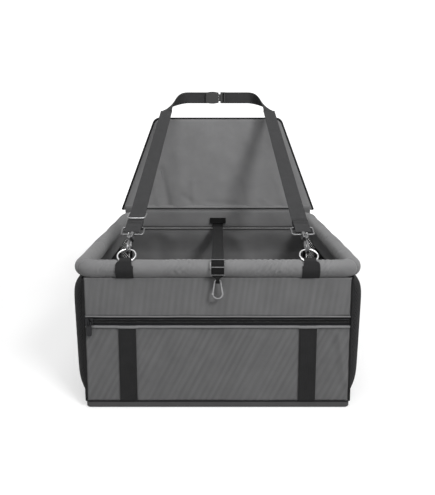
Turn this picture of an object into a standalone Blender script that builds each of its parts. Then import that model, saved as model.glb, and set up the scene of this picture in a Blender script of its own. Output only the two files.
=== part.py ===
"""Dog car seat: an open basket on a flat base, hung by two straps, with a reclined back panel.

Metres, +Z up, the front faces -Y. The origin is the centre of the base's underside.
"""
import math

import bmesh
import bpy
from mathutils import Matrix, Vector

MM = 0.001
COLLECTION = "dog_car_seat"

# Gaps and small sizes that many pieces share
GAP = 0.3 * MM
WELD = 0.001 * MM
OVERRUN = 5 * MM
WEBBING = 1.5 * MM
FABRIC = 1.5 * MM
STRAP_WIDTH = 25 * MM

# Rim
RIM_WIDTH = 420 * MM
RIM_DEPTH = 400 * MM
RIM_HEIGHT = 209.7 * MM
ROLL_DIAMETER = 26 * MM
ROLL_WALL = 0.9 * MM
CORNER_RADIUS = 20 * MM
COVER_STUB = 2 * MM
PIPE_DIAMETER = 16 * MM
PIPE_WALL = 1.8 * MM
ELBOW_WALL = 1.8 * MM
ELBOW_SOCKET = 12 * MM
BAND_HEIGHT = 43 * MM
BAND_DEPTH = 24 * MM
BAND_CORNER = 8 * MM

# Basket body
BASE_WIDTH = RIM_WIDTH - 30 * MM
BODY_TOP_WIDTH = RIM_WIDTH - 32 * MM
BASE_HEIGHT = 11 * MM
BOARD_THICKNESS = 4 * MM
BOARD_INSET = 2 * MM
LINING_THICKNESS = 3 * MM
POCKET_SPACE = 5.5 * MM
BACK_WALL_THICKNESS = 5 * MM
MESH_THICKNESS = 1.6 * MM
MESH_BULGE = 22 * MM
MESH_END_INSET = 1 * MM
MESH_RIB = 6.4 * MM
MESH_END_POWER = 14
MESH_EDGE_POWER = 9
MESH_TOP_SHARE = 0.05
HEM_HEIGHT = 25 * MM
HEM_GAP = 0.8 * MM
BINDING_THICKNESS = 1.2 * MM
BINDING_FRONT_LEG = 3.5 * MM
BINDING_SIDE_LEG = 9 * MM

# Floor pad
PAD_THICKNESS = 20 * MM
PAD_EDGE_THICKNESS = 9 * MM
PAD_CHANNEL_DEPTH = 4 * MM
PAD_CLEARANCE = 3 * MM
PAD_CHANNELS = 4

# Zip
ZIP_HEIGHT = 134.5 * MM
ZIP_BAND = 14 * MM
ZIP_SLIT = 1.2 * MM
ZIP_TAPE = 1.0 * MM
CHAIN_WIDTH = 2.4 * MM
CHAIN_THICKNESS = 1.4 * MM
SLIDER_LENGTH = 11 * MM
SLIDER_WIDTH = 9.4 * MM
SLIDER_PLATE = 1.3 * MM
SLIDER_CHEEK = 1.0 * MM
SLIDER_WEB_LENGTH = 3 * MM
SLIDER_BACK_WIDTH = 7 * MM
BRIDGE_WIDTH = 1.4 * MM
BRIDGE_SPAN = 7.2 * MM
BRIDGE_ROOM = 2.6 * MM
BRIDGE_BAR = 1.2 * MM
PULL_LENGTH = 22 * MM
PULL_WIDTH = 7.3 * MM
PULL_THICKNESS = 1.4 * MM
PULL_SIDE = 1.4 * MM
PULL_EYE = 6.4 * MM
PULL_BAR = 1.3 * MM
PULL_CORNER = 2 * MM

# Webbing bands on the pocket
FRONT_BAND_CENTRE = 130.5 * MM

# Strap chain: ring loop, ring, hook, eye, strap. Places run along the strap from the ring's far wire
RING_LOOP_CENTRE = 132 * MM
RING_CENTRE_X = 131 * MM
RING_RADIUS = 13 * MM
RING_WIRE = 2.4 * MM
RING_LIFT = 0.5 * MM
RING_LOW_PLACE = -2 * MM
LOOP_NARROW_WIDTH = 18 * MM
LOOP_DIVE_START = 4.2 * MM
LOOP_DIVE_END = 6.2 * MM
LOOP_FRONT_TURN = math.radians(230)
LOOP_BACK_TURN = math.radians(-60)
STRAP_TOE_IN = math.radians(2.6)
HOOK_WIRE = 4.2 * MM
HOOK_BOW_RADIUS = 7.5 * MM
HOOK_NOSE_PLACE = 8.5 * MM
HOOK_LEG_END = 14.5 * MM
HOOK_BARREL_START = 20 * MM
HOOK_BARREL_END = 26.5 * MM
HOOK_BARREL_RADIUS = 5 * MM
HOOK_NECK_RADIUS = 3.6 * MM
LUG_WIDTH = 8 * MM
LUG_START = 18 * MM
LUG_END = 25.5 * MM
LUG_TOP = 8.3 * MM
LUG_BOTTOM = 2 * MM
GATE_PIVOT_PLACE = 21.5 * MM
GATE_PIVOT_HEIGHT = 6 * MM
GATE_KNUCKLE_RADIUS = 1.8 * MM
GATE_WIRE = 3 * MM
NOTCH_WIDTH = 4.2 * MM
NOTCH_FLOOR = 2.5 * MM
THUMB_LENGTH = 4 * MM
THUMB_HEIGHT = 2 * MM
THUMB_WIDTH = 3.4 * MM
EYE_PLACE = 33 * MM
EYE_LENGTH = 16 * MM
EYE_HALF_WIDTH = 16.5 * MM
EYE_WIRE = 3 * MM
EYE_CORNER = 3.4 * MM
BOSS_RADIUS = 4 * MM
BOSS_LENGTH = 5 * MM
PIN_RADIUS = 1.5 * MM
PIN_HEAD_RADIUS = 2.8 * MM
PIN_HEAD_LENGTH = 1.6 * MM
FOLD_LENGTH = 16 * MM
FOLD_CLOSE = 5.5 * MM
STRAP_START = 55.5 * MM
SLIDE_LOOP_PLACE = 70 * MM
SLIDE_LOOP_LENGTH = 21 * MM
SLIDE_LOOP_WIRE = 2.2 * MM
SLIDE_LOOP_CORNER = 5 * MM

# Top run of the straps, placed from the back panel's top edge
TOP_RUN_X = 68 * MM
TOP_RUN_RISE = 50 * MM
TOP_RUN_SETBACK = 13.3 * MM
STRAP_TURN_SPAN = 60 * MM
STRAP_TURN_DROP = 31.67 * MM
TURN_START_PULL = 5 * MM
TURN_END_PULL = 30 * MM

# Buckle
BUCKLE_THICKNESS = 6.2 * MM
SOCKET_LEFT = -27 * MM
SOCKET_RIGHT = 2 * MM
SOCKET_HEIGHT = 27 * MM
SOCKET_MOUTH_HEIGHT = 23 * MM
SOCKET_CAVITY = 22 * MM
SOCKET_CAVITY_HEIGHT = 19 * MM
SOCKET_CAVITY_THICKNESS = 3.6 * MM
SOCKET_WINDOW_START = 9 * MM
SOCKET_WINDOW_LENGTH = 9 * MM
PLUG_THICKNESS = 3 * MM
PLUG_NECK_LENGTH = 4 * MM
PLUG_NECK_HEIGHT = 16 * MM
PLUG_FRAME_LENGTH = 11 * MM
PLUG_FRAME_HEIGHT = 25 * MM
PLUG_SLOT_LENGTH = 3 * MM
PRONG_LENGTH = 19 * MM
PRONG_HEIGHT = 3 * MM
PRONG_TIP_HEIGHT = 4.4 * MM
PRONG_TIP_LENGTH = 6 * MM
TONGUE_LENGTH = 12 * MM
TONGUE_HEIGHT = 3 * MM
STRAP_END_INSET = 8 * MM

# Tether
TETHER_WIDTH = 18 * MM
TETHER_BACK_WIDTH = 22 * MM
TETHER_SAG = 12 * MM
TETHER_CONTACT = math.radians(79)
TETHER_FLAT = 13 * MM
TETHER_LEAVE_DROP = 6 * MM
TETHER_START_Z = RIM_HEIGHT + 2.5 * MM
TETHER_LEAVE = 4 * MM
ANCHOR_WIDTH = 34 * MM
ANCHOR_HEIGHT = 12.5 * MM
ANCHOR_BOTTOM = RIM_HEIGHT - 9.5 * MM
TETHER_TUNNEL = 2.9 * MM
TETHER_TUNNEL_WIDTH = 5 * MM
TETHER_PINCH_START_Z = RIM_HEIGHT - 5 * MM
TETHER_PINCH_END_Z = RIM_HEIGHT - 9 * MM
TETHER_JOIN_Z = RIM_HEIGHT - 5.3 * MM
TETHER_TUNNEL_RISE = 1.2 * MM
TETHER_TAIL = math.radians(128)
ADJUSTER_WIRE = 1.6 * MM
ADJUSTER_TOP = math.radians(113)
ADJUSTER_MID = math.radians(158)
ADJUSTER_BOTTOM_Z = RIM_HEIGHT - 4.2 * MM

# Carabiner
CARABINER_TOP_Z = RIM_HEIGHT - 11 * MM
CARABINER_BOTTOM_Z = RIM_HEIGHT - 38.2 * MM
CARABINER_WIRE = 2.4 * MM
CARABINER_SPINE = 3.2 * MM
CARABINER_TOP_RADIUS = 4.4 * MM
CARABINER_BOTTOM_RADIUS = 6.9 * MM
CARABINER_GATE_TOP = CARABINER_TOP_Z - 6 * MM
CARABINER_GATE_KNUCKLE = 1.6 * MM
CARABINER_SAG = 1.45 * MM

# Back panel
PANEL_RECLINE = math.radians(20)
PANEL_THICKNESS = 12 * MM
PANEL_HINGE_Z = RIM_HEIGHT + 14.3 * MM
PANEL_HINGE_SETBACK = 3.3 * MM
PANEL_BOTTOM_WIDTH = RIM_WIDTH - 3 * MM
PANEL_TOP_WIDTH = RIM_WIDTH - 136 * MM
PANEL_LENGTH = 211 * MM
PANEL_START = 1 * MM
PANEL_CORNER = 12 * MM
PANEL_EDGE = 3 * MM
PANEL_BINDING_WIDTH = 5 * MM
PANEL_BINDING_THICKNESS = 6 * MM
PANEL_BOARD_THICKNESS = 4 * MM
PANEL_BOARD_MARGIN = 16 * MM

# Counts of segments
ARC_STEPS = 5
ROUND_STEPS = 4
ROLL_SMOOTHNESS = 6
WIRE_SMOOTHNESS = 2
RING_SEGMENTS = 24
WIRE_SIDES = 8
TURNED_SIDES = 16
SAG_STEPS = 14
TURN_STEPS = 14
MESH_ROWS = 6
MESH_COLUMNS = 12
PAD_ROWS = 26
PAD_COLUMNS = 10

# Planes that the body is built on
HALF_RIM_X = (RIM_WIDTH - ROLL_DIAMETER) / 2
RIM_Y = (RIM_DEPTH - ROLL_DIAMETER) / 2
ROLL_RADIUS = ROLL_DIAMETER / 2
LINING_FRONT = -RIM_Y - LINING_THICKNESS / 2
LINING_BACK = -RIM_Y + LINING_THICKNESS / 2
FACE_BACK = LINING_FRONT - POCKET_SPACE
FACE_FRONT = FACE_BACK - FABRIC
BASE_HALF_DEPTH = -FACE_FRONT
FLOOR_TOP = FABRIC + GAP
BOARD_TOP = FLOOR_TOP + BOARD_THICKNESS
BODY_BOTTOM = BASE_HEIGHT + GAP
BAND_FRONT = RIM_Y - BAND_DEPTH / 2
BAND_BACK = RIM_Y + BAND_DEPTH / 2
SIDE_LEAN = math.atan((BODY_TOP_WIDTH - BASE_WIDTH) / 2 / RIM_HEIGHT)
PANEL_HINGE_Y = BAND_BACK + PANEL_HINGE_SETBACK
TOP_RUN_Y = PANEL_HINGE_Y + math.sin(PANEL_RECLINE) * PANEL_LENGTH + TOP_RUN_SETBACK
TOP_RUN_Z = PANEL_HINGE_Z + math.cos(PANEL_RECLINE) * PANEL_LENGTH + TOP_RUN_RISE
STRAP_TURN_Y = TOP_RUN_Y - STRAP_TURN_SPAN

# The strap's line clears the rim roll and the ring's wire, and meets the turn below the top run
RING_PLANE_LIFT = ROLL_RADIUS + GAP + RING_WIRE / 2 + RING_LIFT
STRAP_REACH = Vector((STRAP_TURN_Y + RIM_Y, TOP_RUN_Z - STRAP_TURN_DROP - RIM_HEIGHT))
STRAP_RISE = math.atan2(STRAP_REACH.y, STRAP_REACH.x) - math.asin(RING_PLANE_LIFT / STRAP_REACH.length)

# How a flat outline's own x, y and z turn into the object's frame
FACING_SIDE = Matrix(((0, 0, 1, 0), (1, 0, 0, 0), (0, 1, 0, 0), (0, 0, 0, 1)))
FACING_FRONT = Matrix(((1, 0, 0, 0), (0, 0, -1, 0), (0, 1, 0, 0), (0, 0, 0, 1)))
FACING_UP = Matrix.Identity(4)
ALONG_Y = Matrix.Rotation(-math.pi / 2, 4, "X")

# Finishes: colour, roughness, metallic
GREY_FABRIC = ((0.135, 0.135, 0.14), 0.9, 0.0)
DARK_WEBBING = ((0.045, 0.045, 0.047), 0.85, 0.0)
BLACK_BINDING = ((0.02, 0.02, 0.021), 0.85, 0.0)
BLACK_MESH = ((0.015, 0.015, 0.016), 0.9, 0.0)
BLACK_PLASTIC = ((0.02, 0.02, 0.02), 0.45, 0.0)
WHITE_PIPE = ((0.75, 0.75, 0.73), 0.4, 0.0)
FOAM = ((0.5, 0.5, 0.48), 0.95, 0.0)
BOARD = ((0.08, 0.08, 0.085), 0.6, 0.0)
BRIGHT_METAL = ((0.75, 0.75, 0.76), 0.2, 1.0)


def clear_scene():
    """Removes every object and makes the model's own collection."""
    for obj in list(bpy.data.objects):
        bpy.data.objects.remove(obj, do_unlink=True)
    group = bpy.data.collections.new(COLLECTION)
    bpy.context.scene.collection.children.link(group)
    return group


def make_material(name, finish):
    """One Principled material from a finish of colour, roughness and metallic."""
    colour, roughness, metallic = finish
    material = bpy.data.materials.new(name)
    material.use_nodes = True
    shader = material.node_tree.nodes["Principled BSDF"]
    shader.inputs["Base Color"].default_value = (*colour, 1)
    shader.inputs["Roughness"].default_value = roughness
    shader.inputs["Metallic"].default_value = metallic
    return material


def add_mesh(name, mesh):
    """A plain object for a mesh, in the model's collection."""
    obj = bpy.data.objects.new(name, mesh)
    bpy.data.collections[COLLECTION].objects.link(obj)
    return obj


def weld(mesh):
    """Joins the loose caps of a converted curve and points every face out."""
    shape = bmesh.new()
    shape.from_mesh(mesh)
    bmesh.ops.remove_doubles(shape, verts=shape.verts, dist=WELD)
    bmesh.ops.recalc_face_normals(shape, faces=shape.faces)
    shape.to_mesh(mesh)
    shape.free()
    return mesh


def settled(obj):
    """The object with its modifiers applied or its curve converted, as a welded mesh object."""
    evaluated = obj.evaluated_get(bpy.context.evaluated_depsgraph_get())
    mesh = weld(bpy.data.meshes.new_from_object(evaluated))
    name = obj.name
    place = obj.matrix_world.copy()
    bpy.data.objects.remove(obj, do_unlink=True)
    mesh.name = name
    solid = add_mesh(name, mesh)
    solid.matrix_world = place
    return solid


def dress(obj, finish, smooth=True):
    """Gives a finished piece its material and shading."""
    obj.data.materials.clear()
    obj.data.materials.append(make_material(obj.name, finish))
    if smooth:
        obj.data.shade_smooth()
        obj.data.set_sharp_from_angle(angle=math.radians(35))
    return obj


def combine(target, tool, operation):
    """Joins or cuts the target with the tool, which is used up."""
    bpy.context.view_layer.update()
    modifier = target.modifiers.new(operation.lower(), "BOOLEAN")
    modifier.operation = operation
    modifier.solver = "EXACT"
    modifier.object = tool
    solid = settled(target)
    bpy.data.objects.remove(tool, do_unlink=True)
    return solid


def joined(target, *tools):
    """The union of the target and each tool."""
    for tool in tools:
        target = combine(target, tool, "UNION")
    return target


def cut(target, *tools):
    """The target with each tool cut out of it."""
    for tool in tools:
        target = combine(target, tool, "DIFFERENCE")
    return target


def block(name, low, high):
    """A box between two corners."""
    low, high = Vector(low), Vector(high)
    size = high - low
    mesh = bpy.data.meshes.new(name)
    shape = bmesh.new()
    bmesh.ops.create_cube(shape, size=1)
    shape.to_mesh(mesh)
    shape.free()
    mesh.transform(Matrix.Translation((low + high) / 2) @ Matrix.Diagonal((*size, 1)))
    return add_mesh(name, mesh)


def rounded_block(name, low, high, radius, segments=2):
    """A box with its edges rounded by a bevel."""
    obj = block(name, low, high)
    bevel = obj.modifiers.new("round", "BEVEL")
    bevel.width = radius
    bevel.segments = segments
    bevel.limit_method = "ANGLE"
    return settled(obj)


def flat(name, outline, thickness, facing, offset=0.0, holes=()):
    """A flat outline, with any holes, extruded evenly about its own plane at an offset."""
    data = bpy.data.curves.new(name, "CURVE")
    data.dimensions = "2D"
    data.fill_mode = "BOTH"
    data.extrude = thickness / 2
    for points in (outline, *holes):
        spline = data.splines.new("POLY")
        spline.points.add(len(points) - 1)
        for place, (x, y) in zip(spline.points, points):
            place.co = (x, y, 0, 1)
        spline.use_cyclic_u = True
    solid = settled(add_mesh(name, data))
    solid.data.transform(facing @ Matrix.Translation((0, 0, offset)))
    return solid


def whole_faces(obj):
    """Merges the triangles of each flat face into one, so that a bevel keeps its width."""
    shape = bmesh.new()
    shape.from_mesh(obj.data)
    bmesh.ops.dissolve_limit(shape, angle_limit=math.radians(1), verts=shape.verts, edges=shape.edges)
    shape.to_mesh(obj.data)
    shape.free()
    return obj


def wire(name, points, radius, closed=False, smoothness=WIRE_SMOOTHNESS, caps=True, scales=None):
    """A round wire or tube along a line of points."""
    data = bpy.data.curves.new(name, "CURVE")
    data.dimensions = "3D"
    data.bevel_depth = radius
    data.bevel_resolution = smoothness
    data.use_fill_caps = caps and not closed
    spline = data.splines.new("POLY")
    spline.points.add(len(points) - 1)
    for index, point in enumerate(points):
        spline.points[index].co = (*point, 1)
        if scales:
            spline.points[index].radius = scales[index]
    spline.use_cyclic_u = closed
    return settled(add_mesh(name, data))


def pipe(name, points, radius, wall, smoothness=ROLL_SMOOTHNESS):
    """An open tube with a wall, along a line of points."""
    tube = wire(name, points, radius, smoothness=smoothness, caps=False)
    shell = tube.modifiers.new("wall", "SOLIDIFY")
    shell.thickness = wall
    shell.offset = -1
    return settled(tube)


def turned(name, profile, sides=TURNED_SIDES):
    """A turned solid from (radius, height) points that run from top to bottom."""
    mesh = bpy.data.meshes.new(name)
    mesh.from_pydata([(radius, 0, height) for radius, height in profile],
                     [(index, index + 1) for index in range(len(profile) - 1)], [])
    obj = add_mesh(name, mesh)
    screw = obj.modifiers.new("turn", "SCREW")
    screw.steps = sides
    screw.render_steps = sides
    screw.use_merge_vertices = True
    screw.merge_threshold = WELD
    return settled(obj)


def rod(name, start, end, radius, sides=WIRE_SIDES):
    """A straight round bar between two points."""
    start, end = Vector(start), Vector(end)
    along = end - start
    mesh = bpy.data.meshes.new(name)
    shape = bmesh.new()
    bmesh.ops.create_cone(shape, cap_ends=True, segments=sides, radius1=radius, radius2=radius,
                          depth=along.length)
    shape.to_mesh(mesh)
    shape.free()
    turn = along.to_track_quat("Z", "Y").to_matrix().to_4x4()
    mesh.transform(Matrix.Translation((start + end) / 2) @ turn)
    return add_mesh(name, mesh)


def arc(centre, radius, start, end, steps=ARC_STEPS):
    """Points on an arc in a plane, with both of its ends."""
    turns = [start + (end - start) * step / steps for step in range(steps + 1)]
    return [(centre[0] + radius * math.cos(turn), centre[1] + radius * math.sin(turn)) for turn in turns]


def rounded_outline(half_x, low, high, radius):
    """A rectangle with round corners, symmetric about x = 0."""
    quarter = math.pi / 2
    corners = ((half_x - radius, high - radius), (radius - half_x, high - radius),
               (radius - half_x, low + radius), (half_x - radius, low + radius))
    points = []
    for index, corner in enumerate(corners):
        points += arc(corner, radius, quarter * index, quarter * (index + 1), ROUND_STEPS)
    return points


def ribbon_outline(path, thickness):
    """The closed outline of a flat band of a thickness that follows a path seen from its edge."""
    left, right = [], []
    for index, (x, y) in enumerate(path):
        before = Vector(path[max(index - 1, 0)])
        after = Vector(path[min(index + 1, len(path) - 1)])
        along = (after - before).normalized()
        here = Vector((x, y))
        incoming = (here - before).normalized() if index else along
        stretch = thickness / 2 / max(along.dot(incoming), 0.5)
        side = Vector((-along.y, along.x)) * stretch
        left.append(tuple(here + side))
        right.append(tuple(here - side))
    return left + right[::-1]


def under_roll(near):
    """The height at which a wall under the rim roll stops, a distance from the roll's centre plane."""
    return RIM_HEIGHT - math.sqrt(ROLL_RADIUS ** 2 - near ** 2) - GAP


def half_width(height):
    """Half of the body's width at a height: the sides lean out a little."""
    return BASE_WIDTH / 2 + math.tan(SIDE_LEAN) * height


def corner_points(sign_x, sign_y, first, last):
    """The rim's centre line round one corner, as angles counted from the corner's X axis side."""
    centre = (HALF_RIM_X - CORNER_RADIUS, RIM_Y - CORNER_RADIUS)
    quarter = arc(centre, CORNER_RADIUS, first, last)
    return [(sign_x * x, sign_y * y, RIM_HEIGHT) for x, y in quarter]


def corner_seam(sign_x, side):
    """Two points on the tangent at the middle of a front corner, from the seam between two covers."""
    eighth = math.pi / 4
    x = HALF_RIM_X - CORNER_RADIUS + CORNER_RADIUS * math.cos(eighth)
    y = RIM_Y - CORNER_RADIUS + CORNER_RADIUS * math.sin(eighth)
    points = []
    for place in (GAP / 2, COVER_STUB):
        step = side * place * math.cos(eighth)
        points.append((sign_x * (x - step), -(y + step), RIM_HEIGHT))
    return points


def build_rim_pipes():
    """Four pipes and the four elbows that hold them, inside the rim."""
    straight_x = HALF_RIM_X - CORNER_RADIUS
    straight_y = RIM_Y - CORNER_RADIUS
    runs = {
        "rim_pipe_front": ((-straight_x, -RIM_Y), (straight_x, -RIM_Y)),
        "rim_pipe_back": ((-straight_x, RIM_Y), (straight_x, RIM_Y)),
        "rim_pipe_left": ((-HALF_RIM_X, -straight_y), (-HALF_RIM_X, straight_y)),
        "rim_pipe_right": ((HALF_RIM_X, -straight_y), (HALF_RIM_X, straight_y)),
    }
    for name, (start, end) in runs.items():
        points = [(*start, RIM_HEIGHT), (*end, RIM_HEIGHT)]
        dress(pipe(name, points, PIPE_DIAMETER / 2, PIPE_WALL, WIRE_SMOOTHNESS), WHITE_PIPE)
    for name, sign_x, sign_y in (("front_left", -1, -1), ("front_right", 1, -1),
                                 ("back_left", -1, 1), ("back_right", 1, 1)):
        bend = corner_points(sign_x, sign_y, 0, math.pi / 2)
        start = (bend[0][0], bend[0][1] - sign_y * ELBOW_SOCKET, RIM_HEIGHT)
        end = (bend[-1][0] - sign_x * ELBOW_SOCKET, bend[-1][1], RIM_HEIGHT)
        radius = PIPE_DIAMETER / 2 + GAP + ELBOW_WALL
        elbow = pipe("rim_elbow_" + name, [start, *bend, end], radius, ELBOW_WALL, WIRE_SMOOTHNESS)
        dress(elbow, WHITE_PIPE)


def build_rim_foam():
    """Foam sleeves on the straight stretches of pipe."""
    reach_x = HALF_RIM_X - CORNER_RADIUS - ELBOW_SOCKET - GAP
    reach_y = RIM_Y - CORNER_RADIUS - ELBOW_SOCKET - GAP
    radius = ROLL_RADIUS - ROLL_WALL - GAP
    wall = radius - PIPE_DIAMETER / 2 - GAP
    runs = {
        "rim_foam_front": ((-reach_x, -RIM_Y), (reach_x, -RIM_Y)),
        "rim_foam_left": ((-HALF_RIM_X, -reach_y), (-HALF_RIM_X, reach_y)),
        "rim_foam_right": ((HALF_RIM_X, -reach_y), (HALF_RIM_X, reach_y)),
    }
    for name, (start, end) in runs.items():
        points = [(*start, RIM_HEIGHT), (*end, RIM_HEIGHT)]
        dress(pipe(name, points, radius, wall, WIRE_SMOOTHNESS), FOAM)
    skin = ROLL_WALL + GAP
    outer = [(x, y) for x, y in rounded_outline(BAND_DEPTH / 2 - skin, skin - BAND_HEIGHT / 2,
                                                BAND_HEIGHT / 2 - skin, BAND_CORNER - skin)]
    bore = arc((0, 0), PIPE_DIAMETER / 2 + GAP, 0, 2 * math.pi, TURNED_SIDES)[:-1]
    foam = flat("rim_foam_back", outer, 2 * reach_x, FACING_SIDE, holes=[bore])
    foam.location = (0, RIM_Y, RIM_HEIGHT)
    dress(foam, FOAM)


def build_rim_covers():
    """The padded rolls of the rim, and the flat band at its back."""
    eighth = math.pi / 4
    quarter = math.pi / 2
    turn = eighth / ROUND_STEPS
    left_end = corner_seam(-1, 1) + corner_points(-1, -1, eighth + turn, quarter)
    right_end = corner_points(1, -1, quarter, eighth + turn) + corner_seam(1, 1)[::-1]
    front = pipe("rim_cover_front", left_end + right_end, ROLL_RADIUS, ROLL_WALL)
    dress(front, GREY_FABRIC)
    stub_x = HALF_RIM_X - CORNER_RADIUS - COVER_STUB
    for name, sign in (("rim_cover_left", -1), ("rim_cover_right", 1)):
        fore = corner_seam(sign, -1) + corner_points(sign, -1, eighth - turn, 0)
        aft = corner_points(sign, 1, 0, quarter) + [(sign * stub_x, RIM_Y, RIM_HEIGHT)]
        dress(pipe(name, fore + aft, ROLL_RADIUS, ROLL_WALL), GREY_FABRIC)
    reach = stub_x - GAP
    outer = rounded_outline(BAND_DEPTH / 2, -BAND_HEIGHT / 2, BAND_HEIGHT / 2, BAND_CORNER)
    inner = rounded_outline(BAND_DEPTH / 2 - ROLL_WALL, ROLL_WALL - BAND_HEIGHT / 2,
                            BAND_HEIGHT / 2 - ROLL_WALL, BAND_CORNER - ROLL_WALL)
    band = flat("rim_cover_back", outer, 2 * reach, FACING_SIDE, holes=[inner])
    band.location = (0, RIM_Y, RIM_HEIGHT)
    dress(band, GREY_FABRIC)


def build_base():
    """The base: a shallow fabric tray, its stiff board and the quilted floor pad."""
    half_x = BASE_WIDTH / 2
    half_y = BASE_HALF_DEPTH
    tray = block("base_cover", (-half_x, -half_y, 0), (half_x, half_y, BASE_HEIGHT))
    room = block("room", (FABRIC - half_x, FABRIC - half_y, FABRIC),
                 (half_x - FABRIC, half_y - FABRIC, BASE_HEIGHT + OVERRUN))
    dress(cut(tray, room), BLACK_BINDING)
    inset = FABRIC + BOARD_INSET
    board = rounded_block("base_board", (inset - half_x, inset - half_y, FLOOR_TOP),
                          (half_x - inset, half_y - inset, BOARD_TOP), GAP, 1)
    dress(board, BOARD)
    build_floor_pad()


def build_floor_pad():
    """A cushion with a crowned top, drawn-in sides and sewn channels."""
    wall = half_width(BODY_BOTTOM) - FABRIC - MESH_THICKNESS
    half_x = wall - PAD_CLEARANCE
    front = LINING_BACK + PAD_CLEARANCE
    back = BASE_HALF_DEPTH - FABRIC - BACK_WALL_THICKNESS - PAD_CLEARANCE
    half_y = (back - front) / 2
    bottom = BOARD_TOP + GAP
    shape = bmesh.new()
    bmesh.ops.create_grid(shape, x_segments=PAD_ROWS, y_segments=PAD_COLUMNS, size=1)
    top = list(shape.faces)
    grown = bmesh.ops.extrude_face_region(shape, geom=top, use_keep_orig=True)
    under = [item for item in grown["geom"] if isinstance(item, bmesh.types.BMVert)]
    for vert in shape.verts:
        u, v = vert.co.x, vert.co.y
        crown = (1 - u ** 6) * (1 - v ** 6)
        channel = math.sin(math.pi * PAD_CHANNELS * (u + 1) / 2) ** 2
        groove = PAD_CHANNEL_DEPTH * (1 - channel ** 0.3) * crown
        height = PAD_EDGE_THICKNESS + (PAD_THICKNESS - PAD_EDGE_THICKNESS) * crown - groove
        vert.co = (u * half_x, v * half_y, height)
    for vert in under:
        vert.co.z = 0
    bmesh.ops.recalc_face_normals(shape, faces=shape.faces)
    mesh = bpy.data.meshes.new("floor_pad")
    shape.to_mesh(mesh)
    shape.free()
    pad = add_mesh("floor_pad", mesh)
    pad.location = (0, (front + back) / 2, bottom)
    dress(pad, GREY_FABRIC)


def panel_outline(low, high, inset):
    """A front panel's four corners: it widens upwards with the body."""
    return [(half_width(high) - inset, high), (inset - half_width(high), high),
            (inset - half_width(low), low), (half_width(low) - inset, low)]


def build_walls():
    """Front lining and outer panels, back wall, mesh sides, hems and corner bindings."""
    bound = FABRIC + BINDING_THICKNESS + GAP
    lining_top = RIM_HEIGHT - ROLL_RADIUS - GAP
    lining_side = BINDING_THICKNESS + GAP + FABRIC + GAP
    lining = flat("front_lining", panel_outline(BOARD_TOP + GAP, lining_top, lining_side + FABRIC),
                  LINING_THICKNESS, FACING_FRONT, RIM_Y)
    dress(lining, GREY_FABRIC)
    face = -(FACE_FRONT + FACE_BACK) / 2
    zip_top = ZIP_HEIGHT + ZIP_BAND / 2
    zip_bottom = ZIP_HEIGHT - ZIP_BAND / 2
    face_top = under_roll(RIM_Y + FACE_BACK)
    upper = flat("front_upper_panel", panel_outline(zip_top + GAP, face_top, bound),
                 FABRIC, FACING_FRONT, face)
    dress(upper, GREY_FABRIC)
    pocket = flat("pocket_panel", panel_outline(BODY_BOTTOM, zip_bottom - GAP, bound),
                  FABRIC, FACING_FRONT, face)
    dress(pocket, GREY_FABRIC)
    back_outer = BASE_HALF_DEPTH - FABRIC - GAP
    back_top = RIM_HEIGHT - BAND_HEIGHT / 2 - GAP
    back = flat("back_wall", panel_outline(BOARD_TOP + GAP, back_top, lining_side + FABRIC),
                BACK_WALL_THICKNESS, FACING_FRONT, BACK_WALL_THICKNESS / 2 - back_outer)
    dress(back, GREY_FABRIC)
    for name, sign in (("left", -1), ("right", 1)):
        build_mesh_wall("side_mesh_" + name, sign)
        build_hem("side_hem_" + name, sign)
        build_binding("corner_binding_" + name, sign)


def side_plane(height):
    """The mesh wall's centre line, half of the way through its thickness, at a height."""
    low = BASE_WIDTH / 2 - FABRIC / 2
    return low + (HALF_RIM_X - low) * height / RIM_HEIGHT


def rib_edges(count, length):
    """Where ribs and openings meet along a wall, from -1 to 1, with a rib at each end."""
    opening = (length - (count + 1) * MESH_RIB) / count
    edges = [0.0, MESH_RIB]
    for _ in range(count):
        edges += [edges[-1] + opening, edges[-1] + opening + MESH_RIB]
    return [2 * edge / length - 1 for edge in edges]


def build_mesh_wall(name, sign):
    """A net wall that bellies out between the base and the rim, with a plain grid of openings."""
    low = BODY_BOTTOM + HEM_GAP
    high = RIM_HEIGHT - ROLL_RADIUS - GAP - HEM_GAP
    half_y = BASE_HALF_DEPTH - BINDING_SIDE_LEG - MESH_END_INSET
    across = rib_edges(MESH_COLUMNS, 2 * half_y)
    upward = rib_edges(MESH_ROWS, high - low)
    shape = bmesh.new()
    rows = []
    for v in upward:
        height = low + (high - low) * (v + 1) / 2
        rise = MESH_BULGE * (1 - abs(v) ** MESH_EDGE_POWER) * (1 - MESH_TOP_SHARE * (1 - v))
        plane = side_plane(height)
        outward = [sign * (plane + rise * (1 - abs(u) ** MESH_END_POWER)) for u in across]
        rows.append([shape.verts.new((x, u * half_y, height)) for x, u in zip(outward, across)])
    for row in range(len(upward) - 1):
        for column in range(len(across) - 1):
            if row % 2 == 0 or column % 2 == 0:
                shape.faces.new((rows[row][column], rows[row][column + 1],
                                 rows[row + 1][column + 1], rows[row + 1][column]))
    bmesh.ops.recalc_face_normals(shape, faces=shape.faces)
    mesh = bpy.data.meshes.new(name)
    shape.to_mesh(mesh)
    shape.free()
    wall = add_mesh(name, mesh)
    shell = wall.modifiers.new("cloth", "SOLIDIFY")
    shell.thickness = MESH_THICKNESS
    shell.offset = 0
    dress(settled(wall), BLACK_MESH)


def build_hem(name, sign):
    """The grey hem under a side rim, inside the net."""
    high = RIM_HEIGHT - ROLL_RADIUS - GAP - HEM_GAP
    low = high - HEM_HEIGHT
    reach = RIM_Y - CORNER_RADIUS
    inner = side_plane(low) - MESH_THICKNESS / 2 - GAP - FABRIC
    near, far = sorted((sign * inner, sign * (inner + FABRIC)))
    dress(block(name, (near, -reach, low), (far, reach, high)), GREY_FABRIC)


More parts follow.
